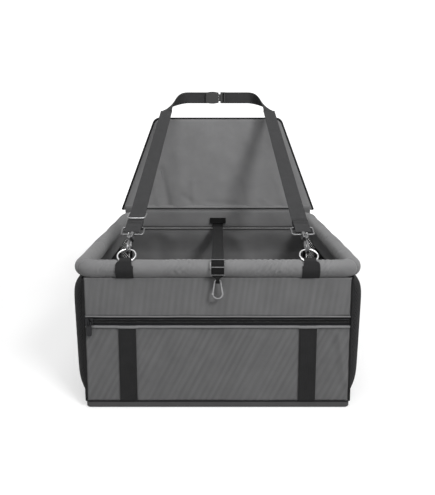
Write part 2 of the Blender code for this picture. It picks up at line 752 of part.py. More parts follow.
def build_binding(name, sign):
    """A dark tape folded round a front corner of the body."""
    outer = BASE_WIDTH / 2
    front = FACE_FRONT - GAP - BINDING_THICKNESS
    back = -BASE_HALF_DEPTH + BINDING_SIDE_LEG
    leg = outer - BINDING_FRONT_LEG
    points = [(outer, front), (outer, back), (outer - BINDING_THICKNESS, back),
              (outer - BINDING_THICKNESS, front + BINDING_THICKNESS), (leg, front + BINDING_THICKNESS),
              (leg, front)]
    height = RIM_HEIGHT - ROLL_RADIUS - GAP - BODY_BOTTOM
    outline = [(sign * x, y) for x, y in points]
    tape = flat(name, outline, height, FACING_UP, height / 2)
    lean = Matrix.Identity(4)
    lean[0][2] = sign * math.tan(SIDE_LEAN)
    tape.data.transform(Matrix.Translation((0, 0, BODY_BOTTOM)) @ lean)
    dress(tape, BLACK_BINDING)


def zip_reach():
    """Half of the zip's length: it stops at the corner bindings."""
    return half_width(ZIP_HEIGHT - ZIP_BAND / 2) - BINDING_FRONT_LEG - GAP


def build_zip_tapes():
    """Two tapes, each with its half of the chain along its inner edge."""
    tape_back = FACE_BACK - GAP
    tape_front = tape_back - ZIP_TAPE
    chain_front = tape_front - CHAIN_THICKNESS
    near = ZIP_SLIT / 2
    far = ZIP_BAND / 2
    for name, sign in (("zipper_tape_upper", 1), ("zipper_tape_lower", -1)):
        section = [(tape_back, near), (tape_back, far), (tape_front, far),
                   (tape_front, near + CHAIN_WIDTH), (chain_front, near + CHAIN_WIDTH), (chain_front, near)]
        outline = [(y, ZIP_HEIGHT + sign * z) for y, z in section]
        dress(flat(name, outline, 2 * zip_reach(), FACING_SIDE), BLACK_BINDING)


def build_zip_slider():
    """Slider body on both sides of the tapes, and its pull tab, which hangs from the bridge."""
    tape_back = FACE_BACK - GAP
    tape_front = tape_back - ZIP_TAPE
    plate_back = tape_front - CHAIN_THICKNESS - GAP
    plate_front = plate_back - SLIDER_PLATE
    half_x = SLIDER_LENGTH / 2
    half_z = SLIDER_WIDTH / 2
    centre_x = half_x - zip_reach() + GAP
    zip_z = ZIP_HEIGHT
    cheek_in = half_z - SLIDER_CHEEK
    cheek_end = tape_front - GAP
    channel = [(plate_front, half_z), (cheek_end, half_z), (cheek_end, cheek_in), (plate_back, cheek_in),
               (plate_back, -cheek_in), (cheek_end, -cheek_in), (cheek_end, -half_z), (plate_front, -half_z)]
    body = flat("zipper_slider", [(y, zip_z + z) for y, z in channel], SLIDER_LENGTH, FACING_SIDE)
    web_half = ZIP_SLIT / 2 - GAP
    web_x = SLIDER_WEB_LENGTH / 2
    back_near = tape_back + GAP
    back_far = back_near + SLIDER_PLATE
    web = block("web", (-web_x, plate_back - GAP, zip_z - web_half),
                (web_x, back_far - GAP, zip_z + web_half))
    back_half = SLIDER_BACK_WIDTH / 2
    back = block("back", (-half_x, back_near, zip_z - back_half), (half_x, back_far, zip_z + back_half))
    bar_back = plate_front - BRIDGE_ROOM
    bar_front = bar_back - BRIDGE_BAR
    post_out = BRIDGE_SPAN / 2
    post_in = post_out - BRIDGE_BAR
    arch = [(plate_front + GAP, zip_z + post_out), (bar_front, zip_z + post_out),
            (bar_front, zip_z - post_out), (plate_front + GAP, zip_z - post_out),
            (plate_front + GAP, zip_z - post_in), (bar_back, zip_z - post_in),
            (bar_back, zip_z + post_in), (plate_front + GAP, zip_z + post_in)]
    bridge = flat("bridge", arch, BRIDGE_WIDTH, FACING_SIDE)
    body = joined(body, web, back, bridge)
    body.location = (centre_x, 0, 0)
    dress(body, BRIGHT_METAL)
    build_zip_pull(centre_x, plate_front - BRIDGE_ROOM / 2)


def build_zip_pull(centre_x, centre_y):
    """A flat tab whose eye bar lies under the slider's bridge."""
    top = PULL_BAR / 2
    outline = rounded_outline(PULL_WIDTH / 2, top - PULL_LENGTH, top, PULL_CORNER)
    half = PULL_WIDTH / 2 - PULL_SIDE
    eye_top = -PULL_BAR / 2
    eye = [(half, eye_top), (-half, eye_top), (-half, eye_top - PULL_EYE), (half, eye_top - PULL_EYE)]
    pull = flat("zipper_pull", outline, PULL_THICKNESS, FACING_FRONT, holes=[eye])
    pull.location = (centre_x, centre_y, ZIP_HEIGHT)
    dress(pull, BRIGHT_METAL)


def build_front_bands():
    """Two webbing bands sewn down the pocket panel."""
    back = FACE_FRONT - GAP
    high = ZIP_HEIGHT - ZIP_BAND / 2 - GAP
    for name, sign in (("front_band_left", -1), ("front_band_right", 1)):
        centre = sign * FRONT_BAND_CENTRE
        band = block(name, (centre - STRAP_WIDTH / 2, back - WEBBING, BODY_BOTTOM),
                     (centre + STRAP_WIDTH / 2, back, high))
        dress(band, BLACK_BINDING)


def strap_direction():
    """The strap's run and its upward normal, seen from the side as (y, z)."""
    along = Vector((math.cos(STRAP_RISE), math.sin(STRAP_RISE)))
    normal = Vector((-math.sin(STRAP_RISE), math.cos(STRAP_RISE)))
    return along, normal


def ring_line(place):
    """A point of the ring's plane as (y, z), at a place along the strap's direction."""
    along, normal = strap_direction()
    return Vector((-RIM_Y, RIM_HEIGHT)) + normal * RING_PLANE_LIFT + along * place


def chain_frame(sign):
    """Where the hook takes the ring's far wire, and the turn of the strap's own frame there."""
    y, z = ring_line(RING_LOW_PLACE + 2 * RING_RADIUS)
    turn = Matrix.Rotation(sign * STRAP_TOE_IN, 4, "Z") @ Matrix.Rotation(STRAP_RISE, 4, "X")
    return Matrix.Translation((sign * RING_CENTRE_X, y, z)) @ turn


def build_ring_loop(name, sign):
    """Webbing round the rim roll that passes through the ring."""
    along, normal = strap_direction()
    centre = Vector((-RIM_Y, RIM_HEIGHT))
    reach = ROLL_RADIUS + GAP + WEBBING / 2
    low = ring_line(RING_LOW_PLACE)
    over = RING_WIRE / 2 + GAP + WEBBING / 2
    outward = low - centre
    meet = math.atan2(outward.y, outward.x) + math.acos((reach - over) / outward.length)
    top = math.atan2(normal.y, normal.x)
    crest = ring_line(LOOP_DIVE_START) + normal * over
    dive = centre + along * LOOP_DIVE_END + normal * math.sqrt(reach ** 2 - LOOP_DIVE_END ** 2)
    dive_turn = math.atan2(dive.y - centre.y, dive.x - centre.x)
    front = arc(centre, reach, LOOP_FRONT_TURN, meet, 6)
    hump = arc(low, over, meet, top, 3)
    back = arc(centre, reach, dive_turn, LOOP_BACK_TURN, 8)
    path = front + hump + [tuple(crest)] + back
    loop = flat(name, ribbon_outline(path, WEBBING), STRAP_WIDTH, FACING_SIDE)
    pinch = low.y + over
    narrow = LOOP_NARROW_WIDTH / STRAP_WIDTH
    shoulder = RIM_HEIGHT + ROLL_RADIUS / 2
    for vert in loop.data.vertices:
        share = min(max((vert.co.z - shoulder) / (pinch - WEBBING - shoulder), 0), 1)
        vert.co.x = vert.co.x * (1 + (narrow - 1) * share) + sign * (RING_CENTRE_X - RING_LOOP_CENTRE) * share
    loop.location = (sign * RING_LOOP_CENTRE, 0, 0)
    dress(loop, DARK_WEBBING)


def build_ring(name, sign):
    """A round wire ring whose near side lies under the webbing loop."""
    shape = [(RING_RADIUS * math.sin(turn), RING_RADIUS * (1 - math.cos(turn)), 0)
             for turn in (2 * math.pi * step / RING_SEGMENTS for step in range(RING_SEGMENTS))]
    ring = wire(name, shape, RING_WIRE / 2, closed=True, smoothness=WIRE_SMOOTHNESS)
    low = ring_line(RING_LOW_PLACE)
    ring.matrix_world = (Matrix.Translation((sign * RING_CENTRE_X, low.x, low.y))
                         @ Matrix.Rotation(STRAP_RISE, 4, "X"))
    dress(ring, BRIGHT_METAL)


def build_hook_body(name, frame):
    """A cast hook: open bow, lug for the gate, barrel and the swivel's headed pin."""
    tip = GAP + RING_WIRE / 2 + HOOK_WIRE / 2
    bow_y = HOOK_BOW_RADIUS - tip
    bow = arc((bow_y, 0), HOOK_BOW_RADIUS, math.pi / 2, 3 * math.pi / 2, 9)
    neck = (HOOK_BARREL_START + HOOK_BARREL_END) / 2
    path = [(HOOK_NOSE_PLACE, HOOK_BOW_RADIUS), *bow, (HOOK_LEG_END, -HOOK_BOW_RADIUS),
            ((HOOK_LEG_END + HOOK_BARREL_START) / 2, -HOOK_BOW_RADIUS * 0.85),
            (HOOK_BARREL_START, -HOOK_BOW_RADIUS * 0.5), (neck, 0)]
    body = wire(name, [(0, y, z) for y, z in path], HOOK_WIRE / 2)
    boss_start = EYE_PLACE - BOSS_LENGTH / 2
    boss_end = EYE_PLACE + BOSS_LENGTH / 2
    head = boss_end + GAP
    pin_end = head + PIN_HEAD_LENGTH
    profile = [(0, pin_end), (PIN_HEAD_RADIUS, pin_end), (PIN_HEAD_RADIUS, head), (PIN_RADIUS, head),
               (PIN_RADIUS, boss_start - GAP), (HOOK_NECK_RADIUS, boss_start - GAP),
               (HOOK_BARREL_RADIUS, HOOK_BARREL_END), (HOOK_BARREL_RADIUS, HOOK_BARREL_START + GAP),
               (HOOK_NECK_RADIUS, HOOK_BARREL_START), (0, HOOK_BARREL_START)]
    barrel = turned("barrel", profile)
    barrel.data.transform(ALONG_Y)
    half = LUG_WIDTH / 2
    lug = rounded_block("lug", (-half, LUG_START, LUG_BOTTOM), (half, LUG_END, LUG_TOP), GAP, 1)
    body = joined(body, barrel, lug)
    slot = NOTCH_WIDTH / 2
    notch_end = GATE_PIVOT_PLACE + GATE_KNUCKLE_RADIUS + GAP
    notch = block("notch", (-slot, LUG_START - OVERRUN, NOTCH_FLOOR), (slot, notch_end, LUG_TOP + OVERRUN))
    body = cut(body, notch)
    body.matrix_world = frame
    dress(body, BRIGHT_METAL)


def build_hook_gate(name, frame):
    """The sprung gate, with its knuckle in the lug's notch and a thumb nub."""
    pivot = Vector((0, GATE_PIVOT_PLACE, GATE_PIVOT_HEIGHT))
    tip_y = HOOK_NOSE_PLACE + GAP - GATE_PIVOT_PLACE
    tip_z = HOOK_BOW_RADIUS - GATE_PIVOT_HEIGHT
    arm = rod(name, (0, 0, 0), (0, tip_y, tip_z), GATE_WIRE / 2)
    half = NOTCH_WIDTH / 2 - GAP
    knuckle = rod("knuckle", (-half, 0, 0), (half, 0, 0), GATE_KNUCKLE_RADIUS, 12)
    nub_y = tip_y / 2
    nub = rounded_block("nub", (-THUMB_WIDTH / 2, nub_y - THUMB_LENGTH / 2, tip_z / 2),
                        (THUMB_WIDTH / 2, nub_y + THUMB_LENGTH / 2, tip_z / 2 + GATE_WIRE / 2 + THUMB_HEIGHT),
                        GAP, 1)
    gate = joined(arm, knuckle, nub)
    gate.matrix_world = frame @ Matrix.Translation(pivot)
    dress(gate, BRIGHT_METAL)


def build_hook_eye(name, frame):
    """The swivel eye: a wire frame with a bored boss for the hook's pin."""
    centre = EYE_PLACE + EYE_LENGTH / 2
    loop = rounded_outline(EYE_HALF_WIDTH, EYE_PLACE, EYE_PLACE + EYE_LENGTH, EYE_CORNER)
    eye = wire(name, [(x, y, 0) for x, y in loop], EYE_WIRE / 2, closed=True)
    start = EYE_PLACE - BOSS_LENGTH / 2
    end = EYE_PLACE + BOSS_LENGTH / 2
    boss = rod("boss", (0, start, 0), (0, end, 0), BOSS_RADIUS, TURNED_SIDES)
    bore = rod("bore", (0, start - OVERRUN, 0), (0, centre, 0), PIN_RADIUS + GAP, TURNED_SIDES)
    eye = cut(joined(eye, boss), bore)
    eye.matrix_world = frame
    dress(eye, BRIGHT_METAL)


def build_end_loop(name, frame):
    """The sewn webbing fold that holds the eye on the strap's end."""
    bar = EYE_PLACE + EYE_LENGTH
    layer = WEBBING + GAP
    radius = EYE_WIRE / 2 + GAP + WEBBING / 2
    close = bar + FOLD_CLOSE
    end = bar + FOLD_LENGTH
    fold = arc((bar, 0), radius, math.radians(-75), math.radians(-285), 8)
    path = [(end, -layer), (close, -layer), *fold, (close, layer), (end, layer)]
    loop = flat(name, ribbon_outline(path, WEBBING), STRAP_WIDTH, FACING_SIDE)
    loop.matrix_world = frame
    dress(loop, DARK_WEBBING)


def strap_route(sign):
    """The strap's centre line with its twist: straight up and back, then round onto its edge."""
    frame = chain_frame(sign)
    along = (frame.to_3x3() @ Vector((0, 1, 0))).normalized()
    start = frame @ Vector((0, STRAP_START, 0))
    turn_start = start + along * ((STRAP_TURN_Y - start.y) / along.y)
    turn_end = Vector((sign * TOP_RUN_X, TOP_RUN_Y, TOP_RUN_Z))
    inward = Vector((-sign, 0, 0))
    points, twists = [start, turn_start], [0.0, 0.0]
    for step in range(1, TURN_STEPS + 1):
        t = step / TURN_STEPS
        leave, arrive = 3 * TURN_START_PULL * along, 3 * TURN_END_PULL * inward
        point = (turn_start * (2 * t ** 3 - 3 * t ** 2 + 1) + leave * (t ** 3 - 2 * t ** 2 + t)
                 + turn_end * (3 * t ** 2 - 2 * t ** 3) + arrive * (t ** 3 - t ** 2))
        points.append(point)
        twists.append(math.pi / 2 * t)
    return points, twists


def build_shoulder_strap(name, sign, end_x):
    """Webbing from the hook's fold up and back, twisted onto its edge and across to the buckle."""
    points, twists = strap_route(sign)
    points.append(Vector((end_x, TOP_RUN_Y, TOP_RUN_Z)))
    twists.append(math.pi / 2)
    section = bpy.data.curves.new("section", "CURVE")
    section.dimensions = "2D"
    edge = section.splines.new("POLY")
    edge.points.add(3)
    half_w = STRAP_WIDTH / 2
    half_t = WEBBING / 2
    corners = ((-half_w, -half_t), (half_w, -half_t), (half_w, half_t), (-half_w, half_t))
    for place, (x, y) in zip(edge.points, corners):
        place.co = (x, y, 0, 1)
    edge.use_cyclic_u = True
    guide = add_mesh("section", section)
    data = bpy.data.curves.new(name, "CURVE")
    data.dimensions = "3D"
    data.twist_mode = "Z_UP"
    data.bevel_mode = "OBJECT"
    data.bevel_object = guide
    data.use_fill_caps = True
    spline = data.splines.new("POLY")
    spline.points.add(len(points) - 1)
    for place, point, twist in zip(spline.points, points, twists):
        place.co = (*point, 1)
        place.tilt = sign * twist
    strap = settled(add_mesh(name, data))
    bpy.data.objects.remove(guide, do_unlink=True)
    dress(strap, DARK_WEBBING)


def build_slide_loop(frame):
    """A round-cornered wire loop on the left strap: front bar over the webbing, back bar behind it."""
    half_x = STRAP_WIDTH / 2 + GAP + SLIDE_LOOP_WIRE / 2
    clear = WEBBING / 2 + GAP + SLIDE_LOOP_WIRE / 2
    outline = rounded_outline(half_x, 0, SLIDE_LOOP_LENGTH, SLIDE_LOOP_CORNER)
    flat_low = SLIDE_LOOP_CORNER * 0.5
    flat_high = SLIDE_LOOP_LENGTH - flat_low
    points = []
    for x, y in outline:
        share = min(max((y - flat_low) / (flat_high - flat_low), 0), 1)
        points.append((x, y, clear * (1 - 2 * share)))
    loop = wire("strap_slide_loop", points, SLIDE_LOOP_WIRE / 2, closed=True)
    loop.matrix_world = frame @ Matrix.Translation((0, SLIDE_LOOP_PLACE, 0))
    dress(loop, BRIGHT_METAL)


def build_buckle():
    """A side release buckle in the top run: socket on the left strap, plug on the right."""
    back = TOP_RUN_Y - WEBBING / 2 - GAP
    centre_y = back - BUCKLE_THICKNESS / 2
    length = SOCKET_RIGHT - SOCKET_LEFT
    half = SOCKET_HEIGHT / 2
    mouth = SOCKET_MOUTH_HEIGHT / 2
    bulge = [(length * share, mouth + (half - mouth) * math.sin(math.pi * share))
             for share in (step / 8 for step in range(9))]
    outline = [(x, z) for x, z in bulge] + [(x, -z) for x, z in reversed(bulge)]
    socket = flat("buckle_socket", outline, BUCKLE_THICKNESS, FACING_FRONT)
    room_z = SOCKET_CAVITY_HEIGHT / 2
    room_y = SOCKET_CAVITY_THICKNESS / 2
    room = block("room", (length - SOCKET_CAVITY, -room_y, -room_z), (length + OVERRUN, room_y, room_z))
    window = block("window", (SOCKET_WINDOW_START, -room_y, -SOCKET_HEIGHT),
                   (SOCKET_WINDOW_START + SOCKET_WINDOW_LENGTH, room_y, SOCKET_HEIGHT))
    socket = cut(socket, room, window)
    socket.location = (SOCKET_LEFT, centre_y, TOP_RUN_Z)
    dress(socket, BLACK_PLASTIC)
    build_plug(centre_y, back)


def build_plug(centre_y, back):
    """The plug: two prongs and a tongue in the socket, and a frame with a webbing slot."""
    neck = PLUG_NECK_HEIGHT / 2
    tip = neck + PRONG_TIP_HEIGHT - PRONG_HEIGHT
    tongue = TONGUE_HEIGHT / 2
    inner = neck - PRONG_HEIGHT
    upper = [(PRONG_TIP_LENGTH - PRONG_LENGTH, neck), (PRONG_TIP_LENGTH / 2 - PRONG_LENGTH, tip),
             (-PRONG_LENGTH, (neck + inner) / 2), (-PRONG_LENGTH, inner), (0, inner), (0, tongue),
             (-TONGUE_LENGTH, tongue)]
    outline = ([(PLUG_NECK_LENGTH, neck)] + upper + [(x, -z) for x, z in reversed(upper)]
               + [(PLUG_NECK_LENGTH, -neck)])
    plug = flat("buckle_plug", outline, PLUG_THICKNESS, FACING_FRONT)
    front = -BUCKLE_THICKNESS / 2
    rear = BUCKLE_THICKNESS / 2
    half = PLUG_FRAME_HEIGHT / 2
    start = PLUG_NECK_LENGTH - GAP
    end = start + PLUG_FRAME_LENGTH
    frame = rounded_block("frame", (start, front, -half), (end, rear, half), GAP, 1)
    slot_start = end - 2 * PLUG_SLOT_LENGTH
    slot_half = STRAP_WIDTH / 2 - WEBBING
    slot = block("slot", (slot_start, front - OVERRUN, -slot_half),
                 (slot_start + PLUG_SLOT_LENGTH, rear + OVERRUN, slot_half))
    plug = joined(plug, cut(frame, slot))
    plug.location = (SOCKET_RIGHT + GAP, centre_y, TOP_RUN_Z)
    dress(plug, BLACK_PLASTIC)


def build_straps():
    """Both hanging chains, from the rim's webbing loops to the buckle in the top run."""
    for name, sign in (("left", -1), ("right", 1)):
        frame = chain_frame(sign)
        build_ring_loop("ring_loop_" + name, sign)
        build_ring("o_ring_" + name, sign)
        build_hook_body("hook_body_" + name, frame)
        build_hook_gate("hook_gate_" + name, frame)
        build_hook_eye("hook_eye_" + name, frame)
        build_end_loop("strap_end_loop_" + name, frame)
    build_shoulder_strap("shoulder_strap_left", -1, -STRAP_END_INSET)
    build_shoulder_strap("shoulder_strap_right", 1, STRAP_END_INSET)
    build_slide_loop(chain_frame(-1))
    build_buckle()


def tether_front_y():
    """The plane of the tether's back layer where it hangs in front of the rim."""
    return -RIM_Y - ROLL_RADIUS - GAP - WEBBING / 2


def tether_tunnel():
    """The centre of the tunnel that the carabiner's top wire lies in, as (y, z)."""
    return tether_front_y() - WEBBING / 2 - TETHER_TUNNEL, CARABINER_TOP_Z - CARABINER_SAG


def build_tether_strap():
    """Webbing from the back band, slack across the basket, over the front rim and folded at the carabiner."""
    centre = (-RIM_Y, RIM_HEIGHT)
    reach = ROLL_RADIUS + GAP + WEBBING / 2
    contact = arc(centre, reach, TETHER_CONTACT, math.pi, 8)
    start_y = BAND_FRONT - GAP - WEBBING / 2
    leave = (start_y - TETHER_LEAVE, TETHER_START_Z - TETHER_FLAT - TETHER_LEAVE_DROP)
    end = contact[0]
    route = [(start_y, TETHER_START_Z), (start_y, TETHER_START_Z - TETHER_FLAT), leave]
    for step in range(1, SAG_STEPS):
        t = step / SAG_STEPS
        slack = TETHER_SAG * 4 * t * (1 - t)
        route.append((leave[0] + (end[0] - leave[0]) * t, leave[1] + (end[1] - leave[1]) * t - slack))
    tunnel_y, tunnel_z = tether_tunnel()
    radius = TETHER_TUNNEL + WEBBING / 2
    fold = arc((tunnel_y, tunnel_z), radius, 0, -math.pi, 8)
    tail_y = tether_front_y() - WEBBING - GAP
    tail = arc(centre, reach + WEBBING + GAP, math.pi, TETHER_TAIL, 4)
    rise = [(tunnel_y - radius, CARABINER_TOP_Z + TETHER_TUNNEL_RISE), (tail_y, TETHER_JOIN_Z)]
    path = route + contact + fold + rise + tail
    strap = flat("tether_strap", ribbon_outline(path, WEBBING), TETHER_WIDTH, FACING_SIDE)
    narrow = TETHER_TUNNEL_WIDTH / TETHER_WIDTH
    widen = TETHER_BACK_WIDTH / TETHER_WIDTH
    for vert in strap.data.vertices:
        behind = min(max((vert.co.y - contact[0][0]) / (start_y - contact[0][0]), 0), 1)
        vert.co.x = vert.co.x * (1 + (widen - 1) * behind)
        in_front = vert.co.y < tether_front_y() + WEBBING
        share = (TETHER_PINCH_START_Z - vert.co.z) / (TETHER_PINCH_START_Z - TETHER_PINCH_END_Z)
        share = min(max(share, 0), 1)
        if in_front:
            vert.co.x = vert.co.x * (1 + (narrow - 1) * share)
    dress(strap, DARK_WEBBING)
    patch_back = start_y - WEBBING / 2 - GAP
    half = ANCHOR_WIDTH / 2
    patch = block("tether_anchor", (-half, patch_back - WEBBING, ANCHOR_BOTTOM),
                  (half, patch_back, ANCHOR_BOTTOM + ANCHOR_HEIGHT))
    dress(patch, DARK_WEBBING)


def build_tether_slider():
    """A bent wire frame with a middle bar over the tether's two layers on the front rim."""
    centre = (-RIM_Y, RIM_HEIGHT)
    wire_radius = ADJUSTER_WIRE / 2
    half_x = TETHER_WIDTH / 2 + GAP + wire_radius
    one_layer = ROLL_RADIUS + GAP + WEBBING + GAP + wire_radius
    two_layers = one_layer + WEBBING + GAP
    top = arc(centre, one_layer, ADJUSTER_TOP, ADJUSTER_TOP, 1)[0]
    side = [top, *arc(centre, two_layers, TETHER_TAIL - math.radians(6), math.pi, 4),
            (-RIM_Y - two_layers, ADJUSTER_BOTTOM_Z)]
    loop = [(half_x, y, z) for y, z in side] + [(-half_x, y, z) for y, z in reversed(side)]
    slider = wire("tether_slider", loop, wire_radius, closed=True)
    mid_y, mid_z = arc(centre, two_layers, ADJUSTER_MID, ADJUSTER_MID, 1)[0]
    bar = rod("bar", (-half_x, mid_y, mid_z), (half_x, mid_y, mid_z), wire_radius)
    dress(joined(slider, bar), BRIGHT_METAL)


def build_carabiner():
    """A pear-shaped carabiner in the tether's fold, with its sprung gate on the left."""
    plane_y, _ = tether_tunnel()
    top_centre = CARABINER_TOP_Z - CARABINER_TOP_RADIUS
    low_centre = CARABINER_BOTTOM_Z + CARABINER_BOTTOM_RADIUS
    knuckle = CARABINER_GATE_KNUCKLE
    opening = (knuckle + 2 * GAP) / CARABINER_BOTTOM_RADIUS
    top = arc((0, top_centre), CARABINER_TOP_RADIUS, math.pi, 0, 8)
    bottom = arc((0, low_centre), CARABINER_BOTTOM_RADIUS, 0, opening - math.pi, 10)
    nose = (-CARABINER_TOP_RADIUS - GAP, CARABINER_GATE_TOP + GAP)
    outline = [nose, *top, *bottom]
    spine = CARABINER_SPINE / CARABINER_WIRE
    thick = range(len(top) + 1, len(top) + 4)
    scales = [spine if index in thick else 1.0 for index in range(len(outline))]
    body = wire("carabiner_body", [(x, 0, z - CARABINER_TOP_Z) for x, z in outline],
                CARABINER_WIRE / 2, scales=scales)
    body.location = (0, plane_y, CARABINER_TOP_Z)
    dress(body, BRIGHT_METAL)
    pivot_x, pivot_z = -CARABINER_BOTTOM_RADIUS, low_centre
    gate_end = (nose[0] - pivot_x, 0, CARABINER_GATE_TOP - pivot_z)
    gate = rod("carabiner_gate", (0, 0, 0), gate_end, CARABINER_WIRE / 2)
    half = CARABINER_WIRE / 2 + GAP
    hub = rod("hub", (0, -half, 0), (0, half, 0), knuckle, 12)
    gate = joined(gate, hub)
    gate.location = (pivot_x, plane_y, pivot_z)
    dress(gate, BRIGHT_METAL)


def panel_edge(widen):
    """Half of the back panel's outline above its bottom edge, from the bottom right to the top left."""
    slope = (PANEL_BOTTOM_WIDTH - PANEL_TOP_WIDTH) / 2 / PANEL_LENGTH
    lean = math.atan(slope)
    top = PANEL_LENGTH + widen
    radius = PANEL_CORNER + widen
    side = widen / math.cos(lean)
    bottom_x = PANEL_BOTTOM_WIDTH / 2 + side - slope * PANEL_START
    centre_z = top - radius
    centre_x = PANEL_BOTTOM_WIDTH / 2 + side - slope * centre_z - radius / math.cos(lean)
    right = [(bottom_x, PANEL_START)] + arc((centre_x, centre_z), radius, lean, math.pi / 2)
    return right + [(-x, z) for x, z in reversed(right)]


def build_back_panel():
    """The reclined back panel: padded cover, stiff board in it, and the binding round its edge."""
    place = Matrix.Translation((0, PANEL_HINGE_Y, PANEL_HINGE_Z)) @ Matrix.Rotation(-PANEL_RECLINE, 4, "X")
    cover = whole_faces(flat("back_panel", panel_edge(0.0), PANEL_THICKNESS, FACING_FRONT))
    bevel = cover.modifiers.new("soft_edge", "BEVEL")
    bevel.width = PANEL_EDGE
    bevel.segments = 2
    bevel.limit_method = "ANGLE"
    bevel.angle_limit = math.radians(40)
    cover = settled(cover)
    margin = PANEL_BOARD_MARGIN
    slope = (PANEL_BOTTOM_WIDTH - PANEL_TOP_WIDTH) / 2 / PANEL_LENGTH
    top = PANEL_LENGTH - margin

    def board_outline(low, grow):
        high = top + grow
        half_low = PANEL_BOTTOM_WIDTH / 2 - slope * low - margin + grow
        half_high = PANEL_BOTTOM_WIDTH / 2 - slope * high - margin + grow
        return [(half_high, high), (-half_high, high), (-half_low, low), (half_low, low)]

    slot = flat("slot", board_outline(-OVERRUN, GAP), PANEL_BOARD_THICKNESS + 2 * GAP, FACING_FRONT)
    cover = cut(cover, slot)
    cover.matrix_world = place
    dress(cover, GREY_FABRIC)
    board_shape = board_outline(PANEL_START + PANEL_EDGE, 0.0)
    board = flat("panel_board", board_shape, PANEL_BOARD_THICKNESS, FACING_FRONT)
    board.matrix_world = place
    dress(board, BOARD)
    outline = panel_edge(PANEL_BINDING_WIDTH) + panel_edge(GAP)[::-1]
    binding = flat("panel_binding", outline, PANEL_BINDING_THICKNESS, FACING_FRONT)
    binding.matrix_world = place
    dress(binding, BLACK_BINDING)


def main():
    """Builds the whole seat."""
    clear_scene()
    build_rim_pipes()
    build_rim_foam()
    build_rim_covers()
    build_base()
    build_walls()
    build_zip_tapes()
    build_zip_slider()
    build_front_bands()
    build_straps()
    build_tether_strap()
    build_tether_slider()
    build_carabiner()
    build_back_panel()


main()
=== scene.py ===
"""Looks of the dog car seat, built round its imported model.

Metres, +Z up, the front faces -Y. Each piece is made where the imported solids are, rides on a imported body
and stands for the plain solids that it replaces.
"""
import logging
import math
from contextlib import contextmanager
from dataclasses import dataclass, field
from enum import Enum
from typing import Callable, Iterator, Optional, Sequence

import bmesh
import bpy
import numpy as np
from mathutils import Matrix, Vector


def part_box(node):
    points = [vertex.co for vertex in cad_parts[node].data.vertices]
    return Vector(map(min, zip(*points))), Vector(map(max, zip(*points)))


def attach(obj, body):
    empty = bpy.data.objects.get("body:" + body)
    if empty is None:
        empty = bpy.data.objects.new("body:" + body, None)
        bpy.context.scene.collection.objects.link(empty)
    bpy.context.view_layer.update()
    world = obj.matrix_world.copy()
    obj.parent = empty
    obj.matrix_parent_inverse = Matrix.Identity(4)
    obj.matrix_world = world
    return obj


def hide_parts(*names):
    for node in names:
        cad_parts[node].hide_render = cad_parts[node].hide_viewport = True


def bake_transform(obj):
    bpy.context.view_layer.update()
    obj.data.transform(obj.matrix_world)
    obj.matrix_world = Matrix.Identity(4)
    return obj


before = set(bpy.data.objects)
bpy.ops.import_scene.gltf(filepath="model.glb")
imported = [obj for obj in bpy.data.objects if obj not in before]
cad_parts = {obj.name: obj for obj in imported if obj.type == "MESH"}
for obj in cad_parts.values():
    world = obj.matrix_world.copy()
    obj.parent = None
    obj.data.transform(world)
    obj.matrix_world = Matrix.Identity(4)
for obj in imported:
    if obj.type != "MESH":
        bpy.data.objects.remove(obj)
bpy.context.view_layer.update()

MM = 0.001
TURN = 2 * math.pi
LOG = logging.getLogger("dog_seat_looks")
UP = np.array((0.0, 0.0, 1.0))
RIGHT = np.array((1.0, 0.0, 0.0))
FRONT = np.array((0.0, -1.0, 0.0))
Socket = bpy.types.NodeSocket
Node = bpy.types.Node
Tone = tuple[float, float, float, float]


class Side(Enum):
    """The seat's left and right, as the signs of X."""

    LEFT = -1
    RIGHT = 1

    @property
    def word(self) -> str:
        """The word that the node names use."""
        return self.name.lower()


class Slot(Enum):
    """The record's material slots."""

    FABRIC = "grey_fabric"
    WEBBING = "dark_webbing"
    BINDING = "black_binding"
    NET = "black_mesh"
    PLASTIC = "black_plastic"
    PIPE = "white_pipe"
    FOAM = "foam"
    BOARD = "board"
    METAL = "bright_metal"


# ---------------------------------------------------------------- shader groups


